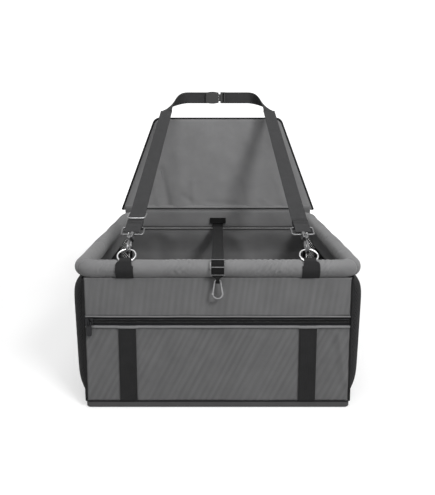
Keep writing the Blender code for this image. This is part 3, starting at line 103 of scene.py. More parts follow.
class Graph:
    """Adds nodes to one node tree and joins their sockets."""

    def __init__(self, tree: bpy.types.NodeTree) -> None:
        """Keeps the tree that the nodes go into."""
        self.tree = tree

    def feed(self, node: Node, feeds: dict) -> Node:
        """Joins or sets a node's inputs.

        Args:
            node: the node.
            feeds: a socket or a plain value for each input.

        Returns:
            The node.
        """
        for key, value in feeds.items():
            if isinstance(value, Socket):
                self.tree.links.new(value, node.inputs[key])
            else:
                node.inputs[key].default_value = value
        return node

    def add(self, kind: str, feeds: Optional[dict] = None, **settings: object) -> Node:
        """Adds a node.

        Args:
            kind: Blender's name of the node type.
            feeds: a socket or a plain value for each input.
            settings: the node's own settings.

        Returns:
            The node.
        """
        node = self.tree.nodes.new(kind)
        for key, value in settings.items():
            setattr(node, key, value)
        return self.feed(node, feeds or {})

    def group(self, build: Callable[[], bpy.types.NodeTree], feeds: dict) -> Node:
        """Adds a shared shader group."""
        return self.add("ShaderNodeGroup", feeds, node_tree=build())

    def sum(self, operation: str, first: object, second: object = 0.0, clamp: bool = False) -> Socket:
        """The result of a Math node, kept from 0 to 1 if clamped."""
        node = self.add("ShaderNodeMath", {0: first, 1: second}, operation=operation, use_clamp=clamp)
        return node.outputs[0]

    def times(self, first: object, second: object, clamp: bool = False) -> Socket:
        """The product of two sockets or numbers."""
        return self.sum("MULTIPLY", first, second, clamp)

    def plus(self, first: object, second: object, clamp: bool = False) -> Socket:
        """The sum of two sockets or numbers."""
        return self.sum("ADD", first, second, clamp)

    def part(self, vector: Socket, axis: int) -> Socket:
        """One part of a vector."""
        return self.add("ShaderNodeSeparateXYZ", {0: vector}).outputs[axis]

    def scaled(self, vector: Socket, factors: tuple[float, float, float]) -> Socket:
        """A vector with each part scaled on its own."""
        return self.add("ShaderNodeVectorMath", {0: vector, 1: factors}, operation="MULTIPLY").outputs[0]

    def noise(self, vector: Socket, scale: object, detail: float = 2.0, roughness: float = 0.5) -> Socket:
        """The value of a Noise texture, from 0 to 1 about 0.5."""
        feeds = {"Vector": vector, "Scale": scale, "Detail": detail, "Roughness": roughness}
        return self.add("ShaderNodeTexNoise", feeds).outputs["Fac"]

    def blend(self, factor: object, first: object, second: object, kind: str = "MIX") -> Socket:
        """The mix of two colours, by the share of the second."""
        feeds = {0: factor, 6: first, 7: second}
        return self.add("ShaderNodeMix", feeds, data_type="RGBA", blend_type=kind).outputs[2]


def shader_group(inputs: dict, outputs: Sequence[str]) -> Callable:
    """Turns a function that adds nodes into one that gives its shared group, built once.

    Args:
        inputs: each input's name with its default number, or None for a vector.
        outputs: the names of the values that the function returns.

    Returns:
        The decorator.
    """
    def wrap(fill: Callable[..., Sequence[Socket]]) -> Callable[[], bpy.types.NodeTree]:
        """Names the group after the function that fills it."""
        def build() -> bpy.types.NodeTree:
            """The group, from the file's data if it is there already."""
            known = bpy.data.node_groups.get(fill.__name__)
            if known:
                return known
            tree = bpy.data.node_groups.new(fill.__name__, "ShaderNodeTree")
            for key, value in inputs.items():
                kind = "NodeSocketVector" if value is None else "NodeSocketFloat"
                socket = tree.interface.new_socket(key, in_out="INPUT", socket_type=kind)
                if value is not None:
                    socket.default_value = value
            for key in outputs:
                tree.interface.new_socket(key, in_out="OUTPUT", socket_type="NodeSocketFloat")
            graph = Graph(tree)
            entry, leave = graph.add("NodeGroupInput"), graph.add("NodeGroupOutput")
            graph.feed(leave, dict(zip(outputs, fill(graph, *(entry.outputs[key] for key in inputs)))))
            return tree

        return build

    return wrap


@shader_group({"Vector": None, "Threads": 900.0, "Unevenness": 1.0}, ("Height", "Shade"))
def plain_weave(graph: Graph, vector: Socket, threads: Socket, unevenness: Socket) -> tuple[Socket, Socket]:
    """Threads that pass over and under each other, with uneven yarn and a lazy ripple of shade.

    Args:
        graph: the group's graph.
        vector: the cloth's coordinates in metres.
        threads: threads in a metre.
        unevenness: how far the threads wander.

    Returns:
        The height and the shade.
    """
    shift = graph.times(graph.sum("SUBTRACT", graph.noise(vector, 60.0, 2.0), 0.5), unevenness)
    waves = [graph.sum("SINE", graph.times(graph.plus(graph.times(graph.part(vector, axis), threads), shift),
                                           math.pi)) for axis in (0, 1)]
    height = graph.plus(graph.times(graph.times(*waves), 0.5), 0.5)
    raised = graph.plus(height, graph.times(graph.noise(vector, 900.0, 1.0), 0.4))
    patch = graph.noise(vector, 22.0, 3.0, 0.6)
    return raised, graph.plus(graph.times(patch, 0.6), graph.times(height, 0.4))


@shader_group({"Vector": None, "Columns": 400.0, "Picks": 900.0, "Skew": 1.6}, ("Height", "Shade"))
def chevron_weave(graph: Graph, vector: Socket, columns: Socket, picks: Socket,
                  skew: Socket) -> tuple[Socket, Socket]:
    """The V-shaped columns of woven webbing.

    Args:
        graph: the group's graph.
        vector: the webbing's coordinates in metres.
        columns: columns in a metre of width.
        picks: picks in a metre of length.
        skew: how steep the V is.

    Returns:
        The height and the shade.
    """
    column = graph.times(graph.part(vector, 0), columns)
    fold = graph.times(graph.sum("PINGPONG", column, 0.5), skew)
    wave = graph.sum("SINE", graph.times(graph.plus(graph.times(graph.part(vector, 1), picks), fold), TURN))
    valley = graph.sum("SINE", graph.times(column, TURN))
    height = graph.plus(graph.plus(graph.times(wave, 0.35), graph.times(valley, 0.15)), 0.5)
    patch = graph.noise(vector, 70.0, 3.0, 0.6)
    return height, graph.plus(graph.times(patch, 0.55), graph.times(height, 0.45))


@shader_group({"Vector": None, "Lean": 0.0, "Pitch": 0.007}, ("Shade",))
def slanting_shade_streaks(graph: Graph, vector: Socket, lean: Socket, pitch: Socket) -> tuple[Socket]:
    """The soft streaks that run across tightly stretched cloth: drawn-out noise beside an even wave. They are
    partly the weave's moiré and partly painted shade of the cloth's fine ripples.

    Args:
        graph: the group's graph.
        vector: the cloth's coordinates in metres.
        lean: the streaks' slant in radians.
        pitch: the distance between them in metres.

    Returns:
        The shade.
    """
    turned = graph.add("ShaderNodeVectorRotate", {"Vector": vector, "Angle": lean}, rotation_type="Z_AXIS")
    drawn = graph.scaled(turned.outputs[0], (1.0, 0.07, 1.0))
    loose = graph.noise(drawn, graph.sum("DIVIDE", 1.0, pitch), 2.0, 0.6)
    count = graph.sum("DIVIDE", graph.part(turned.outputs[0], 0), pitch)
    wander = graph.times(graph.noise(drawn, 30.0, 1.0), 7.0)
    even = graph.sum("SINE", graph.plus(graph.times(count, TURN), wander))
    return (graph.plus(loose, graph.times(even, 0.16), clamp=True),)


@shader_group({"Vector": None, "Amount": 0.2}, ("Mask",))
def settled_dust(graph: Graph, vector: Socket, amount: Socket) -> tuple[Socket]:
    """Lint and dust: soft patches with a few specks.

    Args:
        graph: the group's graph.
        vector: the coordinates in metres.
        amount: how much of it there is.

    Returns:
        The mask.
    """
    both = graph.times(graph.noise(vector, 35.0, 4.0, 0.65), graph.noise(vector, 700.0, 2.0, 0.7))
    return (graph.times(both, amount, clamp=True),)


@shader_group({"Vector": None, "Scratches": 500.0, "Smudge": 0.2}, ("Height", "Rough"))
def handling_wear(graph: Graph, vector: Socket, scratches: Socket, smudge: Socket) -> tuple[Socket, Socket]:
    """Fine scratches and smudges of plated metal and moulded plastic.

    Args:
        graph: the group's graph.
        vector: the coordinates in metres.
        scratches: scratches in a metre.
        smudge: how strong the smudges are.

    Returns:
        The scratches' height and the smudges' roughness.
    """
    lines = graph.noise(graph.scaled(vector, (1.0, 9.0, 2.0)), scratches, 3.0, 0.7)
    return lines, graph.times(graph.noise(vector, 160.0, 3.0, 0.6), smudge)


# ---------------------------------------------------------------- finishes


@dataclass(frozen=True)
class Finish:
    """A finish: its slot in the record, colour and roughness."""

    name: str
    slot: Slot
    colour: tuple[float, float, float]
    roughness: float = 0.9

    def material(self) -> bpy.types.Material:
        """The finish's material, made once."""
        known = bpy.data.materials.get(self.name)
        if known:
            return known
        made = bpy.data.materials.new(self.name)
        made.use_nodes = True
        self.shade(Graph(made.node_tree), made.node_tree.nodes["Principled BSDF"])
        return made

    def shade(self, graph: Graph, shader: Node) -> None:
        """Fills the material's graph; each kind of finish has its own way."""
        raise NotImplementedError

    def tint(self, strength: float) -> Tone:
        """The colour times a strength, as the nodes take it."""
        return (*(part * strength for part in self.colour), 1.0)

    def varied(self, graph: Graph, shade: Socket, low: float, high: float) -> Socket:
        """The colour between two strengths, as a shade runs from 0 to 1."""
        return graph.blend(shade, self.tint(low), self.tint(high))

    @staticmethod
    def coordinates(graph: Graph, woven: bool) -> Socket:
        """The cloth's own UV in metres if it is woven, otherwise the place in the frame."""
        if woven:
            return graph.add("ShaderNodeUVMap", uv_map="cloth").outputs[0]
        return graph.add("ShaderNodeTexCoord").outputs["Object"]

    @staticmethod
    def raised(graph: Graph, height: Socket, depth: float, strength: float = 1.0) -> Socket:
        """The normal of a surface with a height, its relief in metres."""
        bump = graph.add("ShaderNodeBump", {"Height": height, "Strength": strength, "Distance": depth})
        return bump.outputs[0]


@dataclass(frozen=True)
class Cloth(Finish):
    """Plain woven cloth."""

    threads: float = 900.0
    relief: float = 0.12 * MM
    contrast: float = 0.35
    sheen: float = 0.08
    dust: float = 0.1
    woven: bool = True
    # streaks: strength of the slanting streaks, painted shade of fine ripples mixed with the weave's moiré
    streaks: float = 0.0
    lean: float = 0.0
    pitch: float = 9 * MM
    lint: Tone = (0.3, 0.3, 0.29, 1.0)
    rough_span: tuple[float, float] = (-0.08, 0.12)

    def shade(self, graph: Graph, shader: Node) -> None:
        """Weaves the colour, draws streaks of painted ripple shade and weave moiré across it and lays lint on
        it.

        Args:
            graph: the material's graph.
            shader: its Principled shader.
        """
        place = self.coordinates(graph, self.woven)
        weave = graph.group(plain_weave, {"Vector": place, "Threads": self.threads})
        shade = weave.outputs["Shade"]
        colour = self.varied(graph, shade, 1 - self.contrast, 1 + self.contrast)
        # The streaks darken and lighten the colour: painted shade of the fine ripples, partly the weave's
        # moiré.
        if self.streaks:
            drawn = graph.group(slanting_shade_streaks, {"Vector": place, "Lean": self.lean, "Pitch": self.pitch})
            dark, light = ((tone, tone, tone, 1.0) for tone in (1 - self.streaks, 1 + self.streaks))
            colour = graph.blend(1.0, colour, graph.blend(drawn.outputs[0], dark, light), "MULTIPLY")
        dust = graph.group(settled_dust, {"Vector": place, "Amount": self.dust}).outputs[0]
        low, span = self.rough_span
        graph.feed(shader, {"Base Color": graph.blend(dust, colour, self.lint),
                            "Roughness": graph.plus(graph.times(shade, span), self.roughness + low),
                            "Sheen Weight": self.sheen, "Sheen Roughness": 0.5, "Specular IOR Level": 0.2,
                            "Normal": self.raised(graph, weave.outputs["Height"], self.relief)})


@dataclass(frozen=True)
class Webbing(Finish):
    """Woven webbing and tape."""

    columns: float = 400.0
    picks: float = 900.0
    relief: float = 0.2 * MM
    contrast: float = 0.35
    sheen: float = 0.03
    specular: float = 0.09
    dust: float = 0.03
    lint: Tone = (0.25, 0.25, 0.25, 1.0)

    def shade(self, graph: Graph, shader: Node) -> None:
        """Weaves the chevrons into colour and relief.

        Args:
            graph: the material's graph.
            shader: its Principled shader.
        """
        place = self.coordinates(graph, True)
        weave = graph.group(chevron_weave, {"Vector": place, "Columns": self.columns, "Picks": self.picks})
        colour = self.varied(graph, weave.outputs["Shade"], 1 - self.contrast, 1 + self.contrast)
        dust = graph.group(settled_dust, {"Vector": place, "Amount": self.dust}).outputs[0]
        graph.feed(shader, {"Base Color": graph.blend(dust, colour, self.lint), "Roughness": self.roughness,
                            "Sheen Weight": self.sheen, "Specular IOR Level": self.specular,
                            "Normal": self.raised(graph, weave.outputs["Height"], self.relief)})


@dataclass(frozen=True)
class Moulded(Finish):
    """Moulded plastic and sheet: a fine grain with scratches and smudges."""

    scratches: float = 1800.0
    patches: tuple[float, float, float] = (45.0, 3.0, 0.5)
    tones: tuple[float, float] = (0.85, 1.15)
    smudged: float = -0.1
    grain: tuple[float, float] = (0.03 * MM, 1.0)
    metallic: float = 0.0
    specular: float = 0.5

    def shade(self, graph: Graph, shader: Node) -> None:
        """Grains the surface and varies its colour and gloss.

        Args:
            graph: the material's graph.
            shader: its Principled shader.
        """
        place = self.coordinates(graph, False)
        wear = graph.group(handling_wear, {"Vector": place, "Scratches": self.scratches})
        graph.feed(shader, {"Base Color": self.varied(graph, graph.noise(place, *self.patches), *self.tones),
                            "Roughness": graph.plus(wear.outputs["Rough"], self.roughness + self.smudged),
                            "Metallic": self.metallic, "Specular IOR Level": self.specular,
                            "Normal": self.raised(graph, wear.outputs["Height"], *self.grain)})


@dataclass(frozen=True)
class Plated(Moulded):
    """Plated metal, dulled a little where hands and webbing rub."""

    scratches: float = 700.0
    patches: tuple[float, float, float] = (220.0, 3.0, 0.6)
    tones: tuple[float, float] = (0.72, 1.08)
    smudged: float = 0.0
    grain: tuple[float, float] = (0.01 * MM, 0.4)
    metallic: float = 1.0


@dataclass(frozen=True)
class Foamed(Finish):
    """Closed-cell foam: small round cells."""

    cells: float = 700.0
    relief: float = 0.3 * MM

    def shade(self, graph: Graph, shader: Node) -> None:
        """Pits the surface with cells.

        Args:
            graph: the material's graph.
            shader: its Principled shader.
        """
        feeds = {"Vector": self.coordinates(graph, False), "Scale": self.cells}
        pits = graph.add("ShaderNodeTexVoronoi", feeds).outputs["Distance"]
        graph.feed(shader, {"Base Color": self.varied(graph, pits, 0.7, 1.15), "Roughness": self.roughness,
                            "Normal": self.raised(graph, pits, self.relief)})


GREY_CLOTH = Cloth("grey_oxford_cloth", Slot.FABRIC, (0.13, 0.13, 0.132))
RIM_CLOTH = Cloth("rim_cloth", Slot.FABRIC, (0.14, 0.14, 0.142), sheen=0.16)
# The front panels' streaks are painted shade of their fine ripples, partly the weave's moiré.
UPPER_CLOTH = Cloth("upper_panel_cloth", Slot.FABRIC, (0.115, 0.115, 0.117), streaks=0.14, lean=0.14)
POCKET_CLOTH = Cloth("pocket_cloth", Slot.FABRIC, (0.104, 0.104, 0.106), streaks=0.2, lean=0.47)
# A lighter copy of the grey cloth: painted highlight on the hems' folded edges, where they catch the light.
HEM_LIT_CLOTH = Cloth("hem_cloth", Slot.FABRIC, (0.16, 0.16, 0.163), sheen=0.12)
BASE_CLOTH = Cloth("base_cloth", Slot.FABRIC, (0.055, 0.055, 0.056))
STRAP_WEBBING = Webbing("strap_webbing", Slot.WEBBING, (0.036, 0.036, 0.037))
LOOP_WEBBING = Webbing("loop_webbing", Slot.WEBBING, (0.018, 0.018, 0.0185))
BAND_WEBBING = Webbing("band_webbing", Slot.BINDING, (0.018, 0.018, 0.0185))
TETHER_WEBBING = Webbing("tether_webbing", Slot.WEBBING, (0.006, 0.006, 0.0063), columns=350.0)
BINDING_TAPE = Webbing("binding_tape", Slot.BINDING, (0.013, 0.013, 0.0135), columns=500.0, picks=1100.0)
ZIP_TAPE = Webbing("zip_tape", Slot.BINDING, (0.012, 0.012, 0.0135), columns=900.0, picks=1300.0,
                   relief=0.1 * MM)
NET_YARN = Cloth("net_yarn", Slot.NET, (0.011, 0.011, 0.0115), threads=2500.0, relief=0.05 * MM, dust=0.01,
                 sheen=0.02, woven=False)
GREY_THREAD = Cloth("grey_thread", Slot.FABRIC, (0.09, 0.09, 0.092), threads=4000.0, relief=0.03 * MM,
                    woven=False)
DARK_THREAD = Cloth("dark_thread", Slot.BINDING, (0.01, 0.01, 0.01), threads=4000.0, relief=0.03 * MM,
                    sheen=0.02, woven=False)
ZIP_COIL = Moulded("zip_coil", Slot.PLASTIC, (0.01, 0.01, 0.0105), 0.35)
BLACK_PLASTIC = Moulded("black_plastic", Slot.PLASTIC, (0.008, 0.008, 0.008), 0.5, specular=0.2)
WHITE_PIPE = Moulded("white_pipe", Slot.PIPE, (0.75, 0.75, 0.73), 0.4)
BOARD_SHEET = Moulded("board_sheet", Slot.BOARD, (0.08, 0.08, 0.085), 0.6)
SLEEVE_FOAM = Foamed("sleeve_foam", Slot.FOAM, (0.5, 0.5, 0.48), 0.95)
BRIGHT_PLATE = Plated("bright_plate", Slot.METAL, (0.8, 0.8, 0.81), 0.14)
NICKEL_PLATE = Plated("nickel_plate", Slot.METAL, (0.3, 0.3, 0.305), 0.2)
DARK_PLATE = Plated("dark_plate", Slot.METAL, (0.16, 0.16, 0.163), 0.36)
GUNMETAL = Plated("gunmetal", Slot.METAL, (0.035, 0.035, 0.037), 0.3)


# ---------------------------------------------------------------- shapes


def along(points: np.ndarray) -> np.ndarray:
    """The distance of each point from the first, along the line."""
    steps = np.linalg.norm(np.diff(points, axis=0), axis=1)
    return np.concatenate(([0.0], np.cumsum(steps)))


def sampled(places: np.ndarray, reach: np.ndarray, values: np.ndarray) -> np.ndarray:
    """The columns of values at reach, read at other places."""
    return np.stack([np.interp(places, reach, column) for column in values.T], axis=1)


def spaced(points: np.ndarray, step: float) -> np.ndarray:
    """The same line with even steps.

    Args:
        points: the line's points.
        step: the longest step in metres.

    Returns:
        The new points.
    """
    reach = along(points)
    count = max(2, int(math.ceil(reach[-1] / step)) + 1)
    return sampled(np.linspace(0.0, reach[-1], count), reach, points)


def rounded(points: np.ndarray, times: int = 2) -> np.ndarray:
    """The line with its corners softened, ends kept.

    Args:
        points: the line's points, evenly spaced.
        times: how often each point moves towards its neighbours.

    Returns:
        The softened line.
    """
    line = points.copy()
    for _ in range(times):
        line[1:-1] = line[1:-1] * 0.5 + (line[:-2] + line[2:]) * 0.25
    return line


def arc(centre: Sequence[float], radius: float, start: float, end: float, steps: int) -> np.ndarray:
    """Points on an arc in a plane, both ends included, angles in degrees."""
    turns = np.radians(np.linspace(start, end, steps + 1))
    return np.stack([centre[0] + radius * np.cos(turns), centre[1] + radius * np.sin(turns)], axis=1)


def circle(sides: int) -> np.ndarray:
    """The angles of a ring of points."""
    return np.linspace(0, TURN, sides, endpoint=False)


def squared(turns: np.ndarray, power: float = 1.0) -> np.ndarray:
    """A ring of radius 1, squared off: the lower the power, the squarer."""
    ways = np.stack([np.cos(turns), np.sin(turns)], axis=1)
    return np.sign(ways) * np.abs(ways) ** power


def xyz(x: object, y: object, z: object) -> np.ndarray:
    """Points from their three coordinates, each an array or one number for all."""
    return np.stack(np.broadcast_arrays(x, y, z), axis=-1).astype(float)


def unit(vectors: np.ndarray) -> np.ndarray:
    """The vectors at length 1."""
    return vectors / np.maximum(np.linalg.norm(vectors, axis=-1, keepdims=True), 1e-12)


def soft_field(u: np.ndarray, v: np.ndarray, wavelength: float, seed: int) -> np.ndarray:
    """A smooth wandering value, mostly between -1 and 1.

    Args:
        u: metres one way.
        v: metres the other way.
        wavelength: the usual distance from crest to crest.
        seed: chooses the pattern.

    Returns:
        The value at each point.
    """
    draw = np.random.default_rng(seed)
    total = np.zeros(np.broadcast(u, v).shape)
    for _ in range(9):
        turn, phase = draw.uniform(0, TURN, 2)
        length = wavelength * draw.uniform(0.7, 1.6)
        total += np.sin((u * math.cos(turn) + v * math.sin(turn)) * TURN / length + phase)
    return total / 4


def ridges(u: np.ndarray, v: np.ndarray, table: Sequence[Sequence[float]]) -> np.ndarray:
    """Soft ridges along straight lines, which fade past their ends.

    Args:
        u: metres one way.
        v: metres the other way.
        table: each ridge's two ends, half width and height in mm; a height below 0 makes a hollow.

    Returns:
        The height in metres at each point.
    """
    total = np.zeros(np.broadcast(u, v).shape)
    for u0, v0, u1, v1, width, height in table:
        length = math.hypot(u1 - u0, v1 - v0)
        way_u, way_v = (u1 - u0) / length, (v1 - v0) / length
        du, dv = u / MM - u0, v / MM - v0
        far = du * way_u + dv * way_v
        off = (dv * way_u - du * way_v) / width
        past = np.maximum(0.0, np.maximum(-far, far - length)) / (width * 1.5)
        total += np.exp(-off ** 2 - past ** 2) * height
    return total * MM


def smooth_step(value: np.ndarray) -> np.ndarray:
    """An even rise from 0 to 1."""
    share = np.clip(value, 0.0, 1.0)
    return share * share * (3 - 2 * share)


def node_box(name: str) -> tuple[np.ndarray, np.ndarray]:
    """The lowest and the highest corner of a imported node."""
    low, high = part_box(name)
    return np.array(low), np.array(high)


@contextmanager
def reshaped(mesh: bpy.types.Mesh) -> Iterator[bmesh.types.BMesh]:
    """Opens a mesh for editing and writes the result back.

    Args:
        mesh: the mesh.

    Yields:
        The mesh as it is edited.
    """
    shape = bmesh.new()
    shape.from_mesh(mesh)
    yield shape
    shape.to_mesh(mesh)
    shape.free()


def write_uv(mesh: bpy.types.Mesh, values: np.ndarray) -> None:
    """Gives the mesh its cloth UV map, one pair a loop."""
    mesh.uv_layers.new(name="cloth").data.foreach_set("uv", values.astype(np.float32).ravel())


def made(name: str, points: np.ndarray, faces: list, uv: Optional[np.ndarray] = None,
         turn_out: bool = True) -> bpy.types.Object:
    """Makes a smooth mesh and links it as an object.

    Args:
        name: the object's name.
        points: the points, the last axis being xyz.
        faces: the indices of each face.
        uv: the cloth's UV in metres, one pair a loop.
        turn_out: whether the faces are turned outwards.

    Returns:
        The object.
    """
    mesh = bpy.data.meshes.new(name)
    mesh.from_pydata(points.reshape(-1, 3).tolist(), [], faces)
    if uv is not None:
        write_uv(mesh, uv)
    if turn_out:
        with reshaped(mesh) as shape:
            bmesh.ops.recalc_face_normals(shape, faces=shape.faces)
    mesh.shade_smooth()
    obj = bpy.data.objects.new(name, mesh)
    bpy.context.scene.collection.objects.link(obj)
    return obj


def cells(rows: int, columns: int, wrap: bool = False, start: int = 0) -> np.ndarray:
    """The quads of a grid of points, row by row.

    Args:
        rows: rows of points.
        columns: points in a row.
        wrap: joins the last point of a row to its first.
        start: the index of the first point.

    Returns:
        Four indices for each quad.
    """
    row = np.arange(rows - 1)[:, None]
    column = np.arange(columns if wrap else columns - 1)[None, :]
    near = row * columns + column
    far = row * columns + (column + 1) % columns
    return np.stack([near, far, far + columns, near + columns], axis=-1).reshape(-1, 4) + start


def skin(name: str, rows: np.ndarray, wrap: bool = False, capped: bool = False) -> bpy.types.Object:
    """Joins rows of points into one smooth mesh, with the cloth's UV in metres.

    Args:
        name: the object's name.
        rows: the points as (row, column, xyz).
        wrap: closes each row on itself, as round a tube.
        capped: fills the first and the last row.

    Returns:
        The object.
    """
    count, wide = rows.shape[:2]
    faces = cells(count, wide, wrap).tolist()
    ring = np.concatenate([rows, rows[:, :1]], axis=1) if wrap else rows
    u = along(ring[count // 2])
    v = along(rows.mean(axis=1)) if wrap else along(rows[:, wide // 2])
    corners = cells(count, len(u))
    uv = np.stack([u[corners % len(u)], v[corners // len(u)]], axis=-1).reshape(-1, 2)
    if capped:
        faces += [list(range(wide))[::-1], list(range((count - 1) * wide, count * wide))]
        for end in (rows[0], rows[-1]):
            flat = end - end.mean(axis=0)
            uv = np.concatenate([uv, flat[:, :2] + flat[:, 2:]])
    return made(name, rows, faces, uv)


def slab(name: str, face: np.ndarray, back: np.ndarray) -> bpy.types.Object:
    """A closed sheet between two grids of points of the same shape.

    Args:
        name: the object's name.
        face: the points of the side that shows, as (row, column, xyz).
        back: the points behind them.

    Returns:
        The object.
    """
    count, wide = face.shape[:2]
    half = count * wide
    edge = np.concatenate([np.arange(wide), np.arange(1, count) * wide + wide - 1,
                           half - 1 - np.arange(1, wide), np.arange(count - 2, 0, -1) * wide])
    following = np.roll(edge, -1)
    border = np.stack([edge, edge + half, following + half, following], axis=1)
    quads = np.concatenate([cells(count, wide), cells(count, wide, start=half)[:, ::-1], border])
    u, v = along(face[count // 2]), along(face[:, wide // 2])
    grid = np.stack(np.meshgrid(u, v), axis=-1).reshape(-1, 2)
    return made(name, np.concatenate([face, back]), quads.tolist(), np.concatenate([grid, grid])[quads.ravel()])


def flat_section(width: float, thickness: float) -> np.ndarray:
    """The cross-section of webbing: flat, with a slightly raised edge on each side.

    Args:
        width: the whole width in metres.
        thickness: the whole thickness in metres.

    Returns:
        The outline's points.
    """
    edge = [(-1.0, -0.3), (-0.985, -0.75), (-0.95, -0.98), (-0.9, -1.0), (-0.8, -0.88), (-0.4, -0.85)]
    half = edge + [(0.0, -0.85)] + [(-x, y) for x, y in edge[::-1]]
    return np.array(half + [(-x, -y) for x, y in half]) * (width / 2, thickness / 2)


def round_section(radius: float, sides: int = 16) -> np.ndarray:
    """The cross-section of a round wire."""
    return squared(circle(sides)) * radius


def swept(name: str, path: np.ndarray, side: np.ndarray, section: np.ndarray,
          widths: Optional[np.ndarray] = None, closed: bool = False) -> bpy.types.Object:
    """Sweeps a cross-section along a line.

    Args:
        name: the object's name.
        path: the line's points.
        side: the section's own sideways direction, one for all points or one each.
        section: the cross-section as (sideways, upwards) pairs, one for all or one set a point.
        widths: a scale of the sideways size at each point.
        closed: whether the line is a ring.

    Returns:
        The object.
    """
    ahead = np.roll(path, -1, axis=0) - np.roll(path, 1, axis=0) if closed else np.gradient(path, axis=0)
    tangent = unit(ahead)
    up = unit(np.cross(np.broadcast_to(side, path.shape), tangent))
    sideways = unit(np.cross(tangent, up))
    section = np.broadcast_to(section, (len(path), *section.shape[-2:]))
    scale = np.ones(len(path)) if widths is None else widths
    rows = (path[:, None] + sideways[:, None] * (section[..., 0] * scale[:, None])[..., None]
            + up[:, None] * section[..., 1][..., None])
    if not closed:
        return skin(name, rows, wrap=True, capped=True)
    obj = skin(name, np.concatenate([rows, rows[:1]]), wrap=True)
    with reshaped(obj.data) as shape:
        bmesh.ops.remove_doubles(shape, verts=shape.verts, dist=0.001 * MM)
    return obj


def read_points(mesh: bpy.types.Mesh) -> np.ndarray:
    """The mesh's points as rows of x, y and z."""
    points = np.empty(len(mesh.vertices) * 3)
    mesh.vertices.foreach_get("co", points)
    return points.reshape(-1, 3)


def settled(obj: bpy.types.Object) -> None:
    """Makes the result of the object's modifiers its own mesh.

    Args:
        obj: the object.
    """
    graph = bpy.context.evaluated_depsgraph_get()
    mesh = bpy.data.meshes.new_from_object(obj.evaluated_get(graph), depsgraph=graph)
    obj.modifiers.clear()
    obj.data = mesh


def swollen(obj: bpy.types.Object, voxel: float, pressure: float, cap: float, steps: int = 20) -> None:
    """Swells a closed form like a stuffed cover, with a short cloth simulation, and smooths it once.

    Args:
        obj: the form, which starts smaller than it ends.
        voxel: the size of the even mesh that it is first given.
        pressure: the pressure inside.
        cap: the furthest that a point may move.
        steps: the simulation's steps.
    """
    even = obj.modifiers.new("even", "REMESH")
    even.mode = "VOXEL"
    even.voxel_size = voxel
    settled(obj)
    scene = bpy.context.scene
    start = read_points(obj.data)
    cloth = obj.modifiers.new("swell", "CLOTH")
    cloth.settings.use_pressure = True
    cloth.settings.uniform_pressure_force = pressure
    cloth.settings.effector_weights.gravity = 0
    cloth.point_cache.frame_start, cloth.point_cache.frame_end = 1, steps
    for step in range(1, steps + 1):
        scene.frame_set(step)
    settled(obj)
    scene.frame_set(1)
    move = read_points(obj.data) - start
    far = np.linalg.norm(move, axis=1, keepdims=True)
    points = start + move * np.minimum(1, cap / np.maximum(far, 1e-9))
    obj.data.vertices.foreach_set("co", points.astype(np.float32).ravel())
    LOG.info("%s swelled by up to %.1f mm", obj.name, min(cap, float(far.max())) / MM)
    obj.modifiers.new("smooth", "SUBSURF").levels = 1
    settled(obj)
    obj.data.shade_smooth()


def dress(obj: bpy.types.Object, finish: Finish, *nodes: str, body: str = "basket") -> bpy.types.Object:
    """Gives a piece its finish, its body and the solids that it stands for.

    Args:
        obj: the piece.
        finish: its finish.
        nodes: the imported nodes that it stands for.
        body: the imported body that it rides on.

    Returns:
        The piece.
    """
    obj.data.materials.clear()
    obj.data.materials.append(finish.material())
    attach(obj, body)
    if nodes:
        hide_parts(*nodes)
    LOG.info("piece %s: %s, %d faces", obj.name, finish.name, len(obj.data.polygons))
    return obj


def dress_nodes(finish: Finish, *names: str) -> None:
    """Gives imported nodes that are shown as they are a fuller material."""
    for name in names:
        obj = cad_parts[name]
        obj.data.materials.clear()
        obj.data.materials.append(finish.material())
        LOG.info("node %s: %s", name, finish.name)


@dataclass(frozen=True)
class Thread:
    """A sewing thread: its finish, the pitch and length of its stitches and its radius."""

    finish: Finish = DARK_THREAD
    pitch: float = 3.2 * MM
    length: float = 2.4 * MM
    radius: float = 0.28 * MM
    shares: tuple[float, ...] = (-1.0, -0.8, -0.35, 0.35, 0.8, 1.0)
    swell: tuple[float, ...] = (0.25, 0.85, 1.0, 1.0, 0.85, 0.25)
    rise: tuple[float, ...] = (-0.9, 0.1, 0.55, 0.55, 0.1, -0.9)

    def sew(self, name: str, lines: Sequence[np.ndarray], outward: np.ndarray) -> None:
        """Sews rows of stitches, each a short thread that dips into the cloth at both ends.

        Args:
            name: the object's name.
            lines: the points of each seam.
            outward: the cloth's outward direction.
        """
        swell, rise = np.array(self.swell) * self.radius, np.array(self.rise) * self.radius
        turns = circle(6)
        out = unit(np.asarray(outward, float))
        points = []
        for path in lines:
            reach = along(path)
            count = max(1, int(reach[-1] / self.pitch))
            places = (np.arange(count) + 0.5) * reach[-1] / count
            forward = unit(sampled(places, reach, np.gradient(path, axis=0)))
            across = unit(np.cross(forward, out))
            points.append(sampled(places, reach, path)[:, None, None]
                          + forward[:, None, None] * (np.array(self.shares) * self.length / 2)[:, None, None]
                          + out * (rise[:, None] + swell[:, None] * np.sin(turns))[..., None]
                          + across[:, None, None] * (swell[:, None] * np.cos(turns))[..., None])
        body = np.concatenate(points)
        block, sides = body.shape[1] * body.shape[2], len(turns)
        starts = range(0, len(body) * block, block)
        ring = cells(body.shape[1], sides, True)
        faces = np.concatenate([ring + start for start in starts]).tolist()
        faces += [list(range(start + sides - 1, start - 1, -1)) for start in starts]
        faces += [list(range(start + block - sides, start + block)) for start in starts]
        dress(made(name, body, faces, turn_out=False), self.finish)


